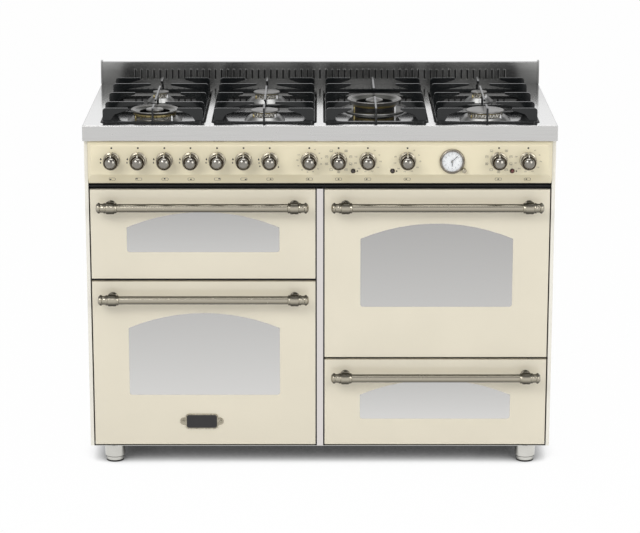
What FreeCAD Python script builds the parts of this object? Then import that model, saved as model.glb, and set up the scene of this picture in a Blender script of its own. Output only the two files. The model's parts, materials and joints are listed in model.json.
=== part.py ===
import FreeCAD, Part
import math
import os
import re

import Sketcher

# A 120 cm range cooker, in millimetres: X to the right, Y to the back, Z up, floor at Z = 0.

SIZES = {
    # case
    "width": 1200, "depth": 600, "height": 900, "worktop_edge": 40, "skin": 1.5, "plate": 1.2,
    "knob_reach": 48, "door_setback": 18, "side_inset": 2, "side_lip": 9, "strip_half": 8.2,
    "body_back": 24, "base_top": 46.5,
    # fronts
    "front_gap": 3.5, "door_depth": 40, "flange_gap": 2, "skin_return": 16,
    "sill_low": 50, "upper_door": 234, "left_gap": 8, "right_split": 280.3, "right_upper": 287,
    "axis_in": 6, "axis_up": 8, "pin_radius": 2.5, "hinge_inset": 36.9, "fit_gap": 0.05,
    # windows
    "window_width": 390, "window_rise": 40, "window_corner": 7, "pane_margin": 12, "pane": 4,
    "tall_sill": 135, "short_sill": 70, "short_shoulder": 65, "left_head": 84, "right_head": 89,
    # handles
    "handle_drop": 41, "handle_stand": 32, "bar_radius": 10.5, "post_inset": 53.4,
    # panel strip and vent, counted down from the top
    "vent_drop": 167, "vent_tall": 15, "break_drop": 126, "panel_drop": 52, "panel_inset": 10,
    "knob_drop": 89, "knob_radius": 19.5, "stem_radius": 3,
    "lamp_drop": 116.4, "clock_drop": 91.4, "clock_radius": 32,
    # ovens
    "oven_inset": 61.9, "oven_rear_gap": 64, "oven_head": 31, "low_floor": 85, "low_rack": 230,
    "right_rack": 480,
    # hob
    "well_front": 26, "well_rear_gap": 100, "well_depth": 10, "well_corner": 18,
    "grate_gap": 6, "grate_front": 34, "grate_top": 37, "blade": 5, "rod": 8, "row_front": 130,
    # upstand
    "upstand_high": 60, "upstand_deep": 15, "slot_margin": 94.5, "slot_width": 4.5,
    # feet and drawer
    "foot_inset": 61, "foot_in": 44, "foot_radius": 26.35, "pad_radius": 22.75, "pad_high": 14,
    "drawer_inset": 31.9, "drawer_rear_gap": 170, "drawer_low": 60, "drawer_high": 215,
    "inlet_inset": 38, "inlet_radius": 10.5,
}
DERIVED = {
    "front": "(knob_reach - depth) / 2",
    "rear": "front + depth",
    "face": "front + door_setback",
    "door_rear": "face + door_depth",
    "flange": "door_rear + flange_gap",
    "flange_back": "flange + plate",
    "back": "rear - body_back",
    "oven_rear": "rear - oven_rear_gap",
    "drawer_back": "depth - drawer_rear_gap",
    "body_half": "width / 2 - side_inset",
    "lip": "body_half - side_lip",
    "panel_half": "body_half - panel_inset",
    "door_width": "lip - strip_half - 2 * front_gap",
    "door_centre": "(lip + strip_half) / 2",
    "hinge_spread": "door_width / 2 - hinge_inset",
    "post_spread": "door_width / 2 - post_inset",
    "oven_half": "door_width / 2 - oven_inset",
    "drawer_half": "door_width / 2 - drawer_inset",
    "foot_across": "body_half - foot_inset",
    "inlet_across": "body_half - inlet_inset",
    "clock_across": "width * 0.3343 / 1.2",
    "worktop_low": "height - worktop_edge",
    "well_floor": "height - well_depth",
    "vent_low": "height - vent_drop",
    "panel_low": "vent_low + vent_tall",
    "panel_break": "height - break_drop",
    "panel_high": "height - panel_drop",
    "knob_height": "height - knob_drop",
    "lamp_height": "height - lamp_drop",
    "clock_height": "height - clock_drop",
    "fronts_top": "vent_low - 2",
    "left_upper": "fronts_top - upper_door",
    "left_split": "left_upper - left_gap",
    "left_shoulder": "left_split - sill_low - tall_sill - window_rise - left_head",
    "right_shoulder": "fronts_top - right_upper - tall_sill - window_rise - right_head",
    "low_roof": "left_split - 29",
    "high_floor": "left_upper + 28",
    "high_rack": "high_floor + 45",
    "high_roof": "fronts_top - oven_head",
    "right_floor": "right_upper + 33",
    "zone_inner": "width * 0.142 / 1.2",
    "zone_outer": "width * 0.424 / 1.2",
    "well_width": "width * 0.268 / 1.2",
    "well_back": "depth - well_rear_gap",
    "grate_width": "well_width - 2 * grate_gap",
    "grate_back": "well_back - 8",
    "row_back": "grate_back - 104",
    "row_middle": "(row_front + row_back) / 2",
    "slot_pitch": "(width - 2 * slot_margin) / 60",
    "arch": "(window_width * window_width / 4 + window_rise * window_rise) / (2 * window_rise)",
}

doc = FreeCAD.newDocument("range_cooker")
dim = doc.addObject("Spreadsheet::Sheet", "dim")
for row, (alias, value) in enumerate(SIZES.items(), 1):
    dim.set(f"A{row}", alias)
    dim.set(f"B{row}", str(value))
    dim.setAlias(f"B{row}", alias)
for row, (alias, value) in enumerate(DERIVED.items(), 1):
    dim.set(f"D{row}", alias)
    dim.set(f"E{row}", "=" + value)
    dim.setAlias(f"E{row}", alias)
doc.recompute()

WORDS = set(SIZES) | set(DERIVED)
nodes = []


def rule(text):
    """The expression for a size: every named size is read from the spreadsheet."""
    return re.sub(r"[a-z_]+", lambda m: "dim." + m.group() if m.group() in WORDS else m.group(), str(text))


def number(text):
    value = dim.evalExpression(rule(text))
    return float(getattr(value, "Value", value))


def drive(thing, path, text):
    thing.setExpression(path, rule(text))


def place(thing, x, y, z):
    for letter, text in zip("xyz", (x, y, z)):
        drive(thing, "Placement.Base." + letter, text)


def box(name, x, y, z):
    """A block between two expressions along each axis."""
    block = doc.addObject("Part::Box", name)
    for path, (low, high) in (("Length", x), ("Width", y), ("Height", z)):
        drive(block, path, f"({high}) - ({low})")
    place(block, x[0], y[0], z[0])
    return block


TURNS = {
    "+Z": FreeCAD.Rotation(),
    "-Y": FreeCAD.Rotation(FreeCAD.Vector(1, 0, 0), 90),
    "+Y": FreeCAD.Rotation(FreeCAD.Vector(1, 0, 0), -90),
    "+X": FreeCAD.Rotation(FreeCAD.Vector(0, 1, 0), 90),
}


def cylinder(name, way, x, y, z, radius, length):
    """A round bar that starts at a point and runs along an axis."""
    rod = doc.addObject("Part::Cylinder", name)
    rod.Placement = FreeCAD.Placement(FreeCAD.Vector(), TURNS[way])
    drive(rod, "Radius", radius)
    drive(rod, "Height", length)
    place(rod, x, y, z)
    return rod


def fuse(name, *shapes):
    joined = doc.addObject("Part::MultiFuse", name)
    joined.Shapes = list(shapes)
    return joined


def cut(name, base, *tools):
    """The base without the tools."""
    result = doc.addObject("Part::Cut", name)
    result.Base = base
    result.Tool = tools[0] if len(tools) == 1 else group(name + "_tools", *tools)
    return result


def group(name, *shapes):
    """Solids that stand apart, kept as one compound."""
    together = doc.addObject("Part::Compound", name)
    together.Links = list(shapes)
    return together


def node(name, thing):
    thing.Label = name
    nodes.append((name, thing))
    return thing


def draw(sketch, points):
    """A closed outline of lines, and of arcs where a point gives the radius of the way to it."""
    xy = [FreeCAD.Vector(number(p[0]), number(p[1]), 0) for p in points]
    count = len(points)
    for i in range(count):
        a, b = xy[i], xy[(i + 1) % count]
        following = points[(i + 1) % count]
        if len(following) == 2:
            sketch.addGeometry(Part.LineSegment(a, b))
            continue
        radius = number(following[2])
        chord = b - a
        middle = (a + b) / 2
        side = FreeCAD.Vector(-chord.y, chord.x, 0).normalize()
        height = math.sqrt(max(radius * radius - chord.Length ** 2 / 4, 0))
        sketch.addGeometry(Part.Arc(a, middle - side * (radius - height), b))
    for i in range(count):
        sketch.addConstraint(Sketcher.Constraint("Coincident", i, 2, (i + 1) % count, 1))
    for i, point in enumerate(points):
        start = 1
        if isinstance(sketch.Geometry[i], Part.ArcOfCircle):
            ends = [sketch.getPoint(i, 1), sketch.getPoint(i, 2)]
            start = 1 if ends[0].distanceToPoint(xy[i]) < ends[1].distanceToPoint(xy[i]) else 2
        for kind, text in (("DistanceX", point[0]), ("DistanceY", point[1])):
            index = sketch.addConstraint(Sketcher.Constraint(kind, -1, 1, i, start, number(text)))
            sketch.setExpression(f"Constraints[{index}]", rule(text))
        if len(points[(i + 1) % count]) == 3:
            text = points[(i + 1) % count][2]
            index = sketch.addConstraint(Sketcher.Constraint("Radius", i, number(text)))
            sketch.setExpression(f"Constraints[{index}]", rule(text))


def body_sketch(body, name, plane, points):
    sketch = body.newObject("Sketcher::SketchObject", name)
    role = plane + "_Plane"
    origin = next(f for f in body.Origin.OriginFeatures if f.Role == role)
    sketch.AttachmentSupport = (origin, [""])
    sketch.MapMode = "FlatFace"
    draw(sketch, points)
    return sketch


def prism(name, plane, points, low, high, x="0", y="0", z="0"):
    """An outline in XY, XZ or YZ, carried from low to high along the third axis."""
    body = doc.addObject("PartDesign::Body", name)
    sketch = body_sketch(body, name + "_outline", plane, points)
    pad = body.newObject("PartDesign::Pad", name + "_pad")
    pad.Profile = sketch
    drive(pad, "Length", f"({high}) - ({low})")
    if plane == "XY":
        place(body, x, y, low)
    if plane == "XZ":
        place(body, x, high, z)
    if plane == "YZ":
        place(body, low, y, z)
    return body


def turned(name, points, way, x, y, z):
    """A radius and length outline turned about its length, which then points along an axis."""
    body = doc.addObject("PartDesign::Body", name)
    sketch = body_sketch(body, name + "_outline", "XZ", points)
    turn = body.newObject("PartDesign::Revolution", name + "_turn")
    turn.Profile = sketch
    turn.ReferenceAxis = (sketch, ["V_Axis"])
    turn.Angle = 360
    body.Placement = FreeCAD.Placement(FreeCAD.Vector(), TURNS[way])
    place(body, x, y, z)
    return body


def rounded(x, y, radius):
    """The points of a rectangle with round corners."""
    (left, right), (low, high) = x, y
    r = radius
    return [
        (f"({left}) + {r}", low, r), (f"({right}) - {r}", low),
        (right, f"({low}) + {r}", r), (right, f"({high}) - {r}"),
        (f"({right}) - {r}", high, r), (f"({left}) + {r}", high),
        (left, f"({high}) - {r}", r), (left, f"({low}) + {r}"),
    ]


# Case -----------------------------------------------------------------------------------------

sides = []
for word, sign in (("left", "-1"), ("right", "1")):
    sides.append(prism(f"side_{word}", "XY", [
        (f"{sign} * body_half", "face"), (f"{sign} * body_half", "back"),
        (f"{sign} * (body_half - plate)", "back"), (f"{sign} * (body_half - plate)", "face + plate"),
        (f"{sign} * (lip + plate)", "face + plate"), (f"{sign} * (lip + plate)", "flange_back"),
        (f"{sign} * lip", "flange_back"), (f"{sign} * lip", "face"),
    ][::1 if word == "left" else -1], "base_top", "worktop_low"))
node("side_panels", group("side_pair", *sides))

node("base_pan", prism("base", "XY", [
    ("-lip", "face + 2"), ("lip", "face + 2"), ("lip", "flange_back"), ("body_half", "flange_back"),
    ("body_half", "back"), ("-body_half", "back"), ("-body_half", "flange_back"), ("-lip", "flange_back"),
], "base_top - skin", "base_top"))

node("centre_partition", prism("partition", "XY", [
    ("-strip_half", "face"), ("strip_half", "face"), ("strip_half", "face + 70"),
    ("strip_half - plate", "face + 70"), ("strip_half - plate", "face + plate"),
    ("plate - strip_half", "face + plate"), ("plate - strip_half", "face + 70"), ("-strip_half", "face + 70"),
], "base_top", "vent_low"))

rear_sheet = box("rear_sheet", ("plate - body_half", "body_half - plate"), ("back - plate", "back"),
                 ("base_top", "worktop_low"))
rear_vents = []
for i in range(12):
    rear_vents.append(box(f"rear_vent_{i}", (f"{i - 6} * 40 + 8", f"{i - 6} * 40 + 32"),
                          ("back - 5", "back + 5"), ("worktop_low - 60", "worktop_low - 54")))
rear_cut = cut("rear_cut", rear_sheet, *rear_vents, cylinder(
    "inlet_hole", "+Y", "inlet_across", "back - 5", "knob_height", "inlet_radius + 3", "10"))
terminal_out = box("terminal_out", ("-inlet_across", "100 - inlet_across"), ("back", "rear - 2"), ("600", "700"))
terminal_in = box("terminal_in", ("3 - inlet_across", "97 - inlet_across"), ("back", "rear - 4"), ("606", "697"))
gland_hole = cylinder("gland_hole", "+Z", "50 - inlet_across", "back + 11", "590", "7", "20")
terminal = cut("terminal", terminal_out, terminal_in, gland_hole)
node("rear_panel", group("rear_set", rear_cut, terminal))

foot_parts = []
for i, (x, y) in enumerate((("-foot_across", "front + foot_in"), ("foot_across", "front + foot_in"),
                            ("-foot_across", "back - foot_in"), ("foot_across", "back - foot_in"))):
    foot_parts.append(turned(f"foot_{i}", [
        ("0", "0"), ("pad_radius - 1.5", "0"), ("pad_radius", "2"), ("pad_radius", "pad_high"),
        ("foot_radius", "pad_high"), ("foot_radius", "base_top - skin"), ("0", "base_top - skin"),
    ], "+Z", x, y, "0"))
node("feet", group("foot_set", *foot_parts))

# Worktop and upstand --------------------------------------------------------------------------

ZONES = {"one": "-zone_outer", "two": "-zone_inner", "three": "zone_inner", "four": "zone_outer"}
slab = box("slab", ("-width / 2", "width / 2"), ("front", "rear"), ("worktop_low", "height"))
inside = box("slab_inside", ("skin - width / 2", "width / 2 - skin"), ("front + skin", "rear - skin"),
             ("worktop_low + skin", "height - skin"))
trays = []
wells = []
for word, x in ZONES.items():
    for tray, grow, low in ((True, "skin", "well_floor - skin"), (False, "0", "well_floor")):
        outline = rounded((f"-well_width / 2 - {grow}", f"well_width / 2 + {grow}"),
                          (f"well_front - {grow}", f"well_back + {grow}"), "well_corner")
        block = prism(f"{'tray' if tray else 'well'}_{word}", "XY", outline, low, "height + 1", x, "front")
        (trays if tray else wells).append(block)
hollow = cut("slab_hollow", inside, *trays)
mouth = box("slab_mouth", ("25 - width / 2", "width / 2 - 25"), ("front + 31", "rear - 34"),
            ("worktop_low - 1", "worktop_low + skin"))

# zone, distance behind the front edge, cap radius, form
BURNERS = [
    ("-zone_outer", "row_front", "61", "ring"), ("-zone_outer", "row_back", "21", "plain"),
    ("-zone_inner", "row_back", "35", "plain"), ("-zone_inner", "row_front", "35", "plain"),
    ("zone_inner", "row_middle", "70.5", "wok"),
    ("zone_outer", "row_front", "48.5", "plain"), ("zone_outer", "row_back", "21", "plain"),
]
holes = []
for i, (x, y, radius, kind) in enumerate(BURNERS):
    holes.append(cylinder(f"burner_hole_{i}", "+Z", x, f"front + {y}", "well_floor - 5", "17", "10"))
node("worktop", cut("worktop_all", slab, hollow, mouth, *wells, *holes))

upstand = doc.addObject("PartDesign::Body", "upstand_body")
channel = body_sketch(upstand, "upstand_channel", "YZ", [
    ("-upstand_deep", "0"), ("plate - upstand_deep", "0"), ("plate - upstand_deep", "upstand_high - plate"),
    ("-plate", "upstand_high - plate"), ("-plate", "0"), ("0", "0"), ("0", "upstand_high"),
    ("-upstand_deep", "upstand_high"),
])
channel_pad = upstand.newObject("PartDesign::Pad", "upstand_pad")
channel_pad.Profile = channel
channel_pad.Midplane = True
drive(channel_pad, "Length", "width - 10")
slot = body_sketch(upstand, "upstand_slot", "XZ", [
    ("-30 * slot_pitch - slot_width / 2", "14"), ("slot_width / 2 - 30 * slot_pitch", "14"),
    ("slot_width / 2 - 30 * slot_pitch", "upstand_high - 19"),
    ("-30 * slot_pitch - slot_width / 2", "upstand_high - 19"),
])
drive(slot, "AttachmentOffset.Base.z", "upstand_deep - 3 * plate")
slot_pocket = upstand.newObject("PartDesign::Pocket", "upstand_pocket")
slot_pocket.Profile = slot
slot_pocket.Reversed = True
drive(slot_pocket, "Length", "5 * plate")
row = upstand.newObject("PartDesign::LinearPattern", "upstand_row")
row.Originals = [slot_pocket]
row.Direction = (slot, ["H_Axis"])
row.Occurrences = 61
drive(row, "Length", "60 * slot_pitch")
upstand.Tip = row
place(upstand, "0", "rear", "height")
caps = []
for word, low, high in (("left", "-width / 2", "5 - width / 2"), ("right", "width / 2 - 5", "width / 2")):
    caps.append(box(f"upstand_cap_{word}", (low, high), ("rear - upstand_deep - 3", "rear"),
                    ("height", "height + upstand_high + 4.5")))
node("upstand", fuse("upstand_all", upstand, *caps))

# Burners and pan supports -----------------------------------------------------------------------



def burner_cup(radius, kind):
    """A crown on a flared skirt, with an open ring channel round its middle where it has a ring flame."""
    neck = [("0", "-34"), ("15", "-34"), ("15", "0")]
    if kind == "plain":
        return neck + [(f"{radius} + 17", "0"), (f"{radius} + 16.5", "1.2"), (f"{radius} + 6", "11"),
                       (f"{radius} + 3", "12"), (f"{radius} - 4", "12"), (f"{radius} - 5", "23"), ("0", "23")]
    foot = [(f"{radius} + 9", "0"), (f"{radius} + 8.5", "1.5"), (f"{radius} - 2", "8")]
    wall = [(f"{radius} - 7", "9"), (f"{radius} - 8", "20")]
    if kind == "wok":
        foot = [(f"{radius} + 10", "0"), (f"{radius} + 10", "3"), (f"{radius} - 4", "4.5")]
        wall = [(f"{radius} - 16", "5.5"), (f"{radius} - 11", "20")]
    return neck + foot + wall + [(f"{radius} - 23", "20"), (f"{radius} - 24", "8"), ("18", "8"), ("18", "24"),
                                 ("0", "24")]


cups = []
lids = []
for i, (x, y, radius, kind) in enumerate(BURNERS):
    spot = (x, f"front + {y}", "well_floor")
    cups.append(turned(f"burner_{i}", burner_cup(radius, kind), "+Z", *spot))
    if kind == "plain":
        lids.append(turned(f"burner_lid_{i}", [
            ("0", "23"), (f"{radius} - 1", "23"), (radius, "24"), (radius, "25.5"), (f"{radius} - 2", "27"),
            ("0", "28"),
        ], "+Z", *spot))
        continue
    dish = "32" if kind == "wok" else "29"
    lids.append(turned(f"burner_lid_{i}", [
        ("0", "24"), ("21.5", "24"), ("22.5", "25.5"), ("22.5", "28"), ("20", "30"), ("0", f"{dish} + 1.5"),
    ], "+Z", *spot))
    lids.append(turned(f"burner_ring_{i}", [
        (f"{radius} - 22", "20"), (f"{radius} - 10", "20"), (radius, f"{dish} - 2.5"), (radius, f"{dish} - 1"),
        (f"{radius} - 2", dish), (f"{radius} - 5", f"{dish} - 1"), (f"{radius} - 22", "22.5"),
    ], "+Z", *spot))
node("burner_bodies", group("burner_set", *cups))
node("burner_caps", group("lid_set", *lids))

# distance of each row of fingers behind the front edge, and how far its tips stay from the middle
ROWS = [("grate_front + 10", "62"), ("row_front", "27"), ("row_middle", "59"),
        ("row_back", "27"), ("grate_back - 18", "60")]
RING_ROWS = [ROWS[0], ("row_front", "66"), ("row_middle", "66"), ("row_back", "60"), ROWS[4]]
for word, x in ZONES.items():
    three = word == "three"
    low = "well_floor + 6"
    pieces = [cut(f"grate_frame_{word}",
                  prism(f"grate_outer_{word}", "XY", rounded(
                      ("-grate_width / 2", "grate_width / 2"), ("grate_front", "grate_back"), "12"),
                      low, f"{low} + rod", x, "front"),
                  prism(f"grate_inner_{word}", "XY", rounded(
                      ("rod - grate_width / 2", "grate_width / 2 - rod"),
                      ("grate_front + rod", "grate_back - rod"), "6"),
                      low, f"{low} + rod", x, "front"))]
    for i, (y, tip) in enumerate(RING_ROWS if three else ROWS):
        for sign in ("-1", "1"):
            finger = [
                (f"{sign} * (grate_width / 2 - 12)", "6"), (f"{sign} * (grate_width / 2 - 1)", "6"),
                (f"{sign} * (grate_width / 2 - 1)", "grate_top + well_depth - 7"),
                (f"{sign} * (grate_width / 2 - 7)", "grate_top + well_depth"),
                (f"{sign} * {tip}", "grate_top + well_depth"),
                (f"{sign} * {tip}", "grate_top + well_depth - 5"),
                (f"{sign} * (grate_width / 2 - 27)", "25"),
            ]
            pieces.append(prism(f"grate_finger_{word}_{i}_{'a' if sign == '1' else 'b'}", "XZ",
                                finger[::-1] if sign == "-1" else finger,
                                f"front + {y} - blade / 2", f"front + {y} + blade / 2", x, "0", "well_floor"))
    reach = "206" if three else "100"
    ahead = [("grate_front + 1", "6"), ("grate_front + 10", "6"), ("grate_front + 22", "28"),
             (reach, "grate_top + well_depth - 6"), (reach, "grate_top + well_depth"),
             ("grate_front + 5", "grate_top + well_depth"), ("grate_front + 1", "grate_top + well_depth - 4")]
    behind = [(f"grate_front + grate_back - ({a})", b) for a, b in ahead][::-1]
    for part, outline in (("ahead", ahead), ("behind", behind)):
        pieces.append(prism(f"grate_{part}_{word}", "YZ", outline, f"({x}) - blade / 2", f"({x}) + blade / 2",
                            "0", "front", "well_floor"))
    if not three:
        pieces.append(box(f"grate_spine_{word}", (f"({x}) - blade / 2", f"({x}) + blade / 2"),
                          ("front + row_middle - 99", "front + row_middle + 99"),
                          ("height + grate_top - 7", "height + grate_top")))
        pieces.append(box(f"grate_cross_{word}",
                          (f"({x}) - grate_width / 2 + 4", f"({x}) + grate_width / 2 - 4"),
                          ("front + row_middle - blade / 2", "front + row_middle + blade / 2"),
                          (low, f"{low} + rod")))
        pieces.append(box(f"grate_post_{word}", (f"({x}) - blade / 2", f"({x}) + blade / 2"),
                          ("front + row_middle - 9", "front + row_middle + 9"),
                          (low, "height + grate_top")))
    for i, (dx, dy) in enumerate((("-1", "grate_front + 20"), ("1", "grate_front + 20"),
                                  ("-1", "grate_back - 20"), ("1", "grate_back - 20"))):
        pieces.append(cylinder(f"grate_foot_{word}_{i}", "+Z", f"({x}) + {dx} * (grate_width / 2 - 4)",
                               f"front + {dy}", "well_floor", "4", "8"))
    node(f"grate_{word}", fuse(f"grate_all_{word}", *pieces))

# Panel strip, clock, lamps, knobs ---------------------------------------------------------------

strip = prism("panel_sheet", "YZ", [
    ("face", "panel_low"), ("flange_back", "panel_low"), ("flange_back", "panel_low + skin"),
    ("face + 0.8", "panel_low + skin"), ("front + skin", "panel_break + 0.4"),
    ("front + skin", "panel_high - 0.6"), ("front + 11", "worktop_low - skin"),
    ("flange_back", "worktop_low - skin"), ("flange_back", "worktop_low"), ("front + 10", "worktop_low"),
    ("front", "panel_high"), ("front", "panel_break"),
], "-panel_half", "panel_half")
ends = []
for word, low, high in (("left", "-panel_half", "skin - panel_half"),
                        ("right", "panel_half - skin", "panel_half")):
    ends.append(prism(f"panel_end_{word}", "YZ", [
        ("face", "panel_low"), ("flange_back", "panel_low"), ("flange_back", "worktop_low"),
        ("front + 10", "worktop_low"), ("front", "panel_high"), ("front", "panel_break"),
    ], low, high))



def across(places):
    """Places along the panel, counted on one 1200 wide and spread with the width."""
    return [f"{place} * width / 1200" for place in places]


GAS = across((-527, -460, -393, -327, -260, -193, -127))
ELECTRIC = across((-27, 47, 121, 221, 452, 526))
LAMPS = across((83.9, 183.6, 486.5))
panel_holes = [cylinder(f"knob_hole_{i}", "+Y", x, "front - 5", "knob_height", "stem_radius + 1.5", "12")
               for i, x in enumerate(GAS + ELECTRIC)]
panel_holes += [cylinder(f"lamp_hole_{i}", "+Y", x, "front - 5", "lamp_height", "4.55", "12")
                for i, x in enumerate(LAMPS)]
panel_holes.append(cylinder("clock_hole", "+Y", "clock_across", "front - 5", "clock_height",
                            "clock_radius - 3.95", "12"))
panel_holes.append(cylinder("setter_hole", "+Y", "clock_across + 30.5", "front - 5", "clock_height - 23.4",
                            "2 + fit_gap", "12"))
bevels = []
for word, sign in (("left", "-1"), ("right", "1")):
    wedge = [(f"{sign} * (panel_half - 9)", "front - 1"), (f"{sign} * (panel_half + 1)", "front - 1"),
             (f"{sign} * (panel_half + 1)", "front + 10"), (f"{sign} * panel_half", "front + 9")]
    bevels.append(prism(f"panel_bevel_{word}", "XY", wedge[::-1] if word == "left" else wedge,
                        "panel_low - 1", "worktop_low"))
fascia_solid = fuse("panel_solid", strip, *ends)
corners = []
for word, low, high in (("left", "-panel_half", "11 - panel_half"), ("right", "panel_half - 11", "panel_half")):
    corners.append(prism(f"panel_corner_{word}", "YZ", [
        ("face", "panel_low"), ("face + 3", "panel_low"), ("front + 14", "panel_break + 2"),
        ("front + 14", "worktop_low"), ("front + 10", "worktop_low"), ("front", "panel_high"),
        ("front", "panel_break"),
    ], low, high))
node("fascia", cut("panel_all", fuse("panel_joined", fascia_solid, *corners), *panel_holes, *bevels))

gear = [cylinder("gas_rail", "+X", "10 - inlet_across", "front + 62", "knob_height", "8",
                 "2 * inlet_across - 10"),
        cylinder("inlet_pipe", "+Y", "inlet_across", "front + 62", "knob_height", "8", "rear - front - 70"),
        cylinder("inlet_thread", "+Y", "inlet_across", "back", "knob_height", "inlet_radius", "body_back - 2")]
bores = []
for i, x in enumerate(GAS + ELECTRIC):
    deep = "54.5" if i < len(GAS) else "46"
    gear.append(box(f"valve_{i}", (f"{x} - 15", f"{x} + 15"), ("front + 14", f"front + {deep}"),
                    ("knob_height - 16", "knob_height + 16")))
    gear.append(cylinder(f"valve_neck_{i}", "+Y", x, "front + skin", "knob_height", "7", "13"))
    bores.append(cylinder(f"valve_bore_{i}", "+Y", x, "front + 1", "knob_height", "stem_radius + fit_gap", "36"))
node("control_gear", cut("gear_all", fuse("gear_joined", *gear), *bores))

KNOB = [
    ("0", "-34"), ("stem_radius", "-34"), ("stem_radius", "1"), ("22", "1"), ("22", "4"), ("14.5", "7"),
    ("14", "15"), ("knob_radius", "22"), ("knob_radius", "33"), ("knob_radius - 2", "34.5"), ("15", "32"),
    ("14.2", "33"), ("14.2", "39"), ("12.5", "43"), ("8", "knob_reach - 1.2"), ("0", "knob_reach"),
]
for i, x in enumerate(GAS + ELECTRIC):
    grip = turned(f"knob_grip_{i + 1}", KNOB, "-Y", x, "front", "knob_height")
    fin = prism(f"knob_fin_{i + 1}", "YZ", [
        ("-3.5", "10"), ("-3.5", "20"), ("-8", "22.5"), ("-25", "21.5"), ("-36", "18"), ("-36", "10"),
    ], f"{x} - 1.7", f"{x} + 1.7", "0", "front", "knob_height")
    node(f"knob_{i + 1:02d}", fuse(f"knob_all_{i + 1}", grip, fin))

node("indicator_lamps", group("lamp_set", *[turned(f"lamp_{i}", [
    ("0", "-12"), ("4.5", "-12"), ("4.5", "0"), ("6", "0"), ("6", "1.5"), ("4", "3.5"), ("0", "4"),
], "-Y", x, "front", "lamp_height") for i, x in enumerate(LAMPS)]))

node("clock_case", turned("clock_body", [
    ("0", "-36"), ("clock_radius - 4", "-36"), ("clock_radius - 4", "0"), ("clock_radius", "0"),
    ("clock_radius", "3"), ("clock_radius - 4", "7"), ("clock_radius - 5.5", "6.5"),
    ("clock_radius - 5.5", "1"), ("1.2", "1"), ("1.2", "4.2"), ("0", "4.2"),
], "-Y", "clock_across", "front", "clock_height"))
node("clock_glass", cylinder("clock_pane", "-Y", "clock_across", "front - 4.6", "clock_height",
                             "clock_radius - 5.5", "1.2"))
for name, start, length, wide, angle in (("hour_hand", "1.4", 13, 2.2, 180),
                                         ("minute_hand", "2.9", 19, 1.6, -45)):
    hub = cylinder(name + "_hub", "-Y", "0", f"-{start}", "0", "2.6", "1")
    arm = box(name + "_arm", (f"-{wide} / 2", f"{wide} / 2"), (f"-{start} - 1", f"-{start}"), ("-4", f"{length}"))
    eye = cylinder(name + "_eye", "-Y", "0", "5", "0", "1.2 + fit_gap", "20")
    hand = node(name, cut(name + "_all", fuse(name + "_joined", hub, arm), eye))
    hand.Placement = FreeCAD.Placement(FreeCAD.Vector(), FreeCAD.Rotation(FreeCAD.Vector(0, -1, 0), angle))
    place(hand, "clock_across", "front", "clock_height")
node("clock_setter", turned("setter_grip", [
    ("0", "-10"), ("2", "-10"), ("2", "1"), ("6", "1"), ("6", "9"), ("4", "11"), ("0", "11"),
], "-Y", "clock_across + 30.5", "front", "clock_height - 23.4"))

# Vent strip ---------------------------------------------------------------------------------------

node("vent_trim", prism("vent_bar", "YZ", [
    ("face + 10", "vent_low"), ("flange_back", "vent_low"), ("flange_back", "vent_low + plate"),
    ("face + 12", "vent_low + plate"), ("face + 12", "panel_low - plate"), ("flange_back", "panel_low - plate"),
    ("flange_back", "panel_low"), ("face + 10", "panel_low"), ("face + 10", "vent_low + 8"),
    ("face + 2", "vent_low + 7.6"), ("face + 2", "vent_low + 6.4"), ("face + 10", "vent_low + 6"),
], "-lip", "lip"))

# Ovens --------------------------------------------------------------------------------------------

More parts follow.
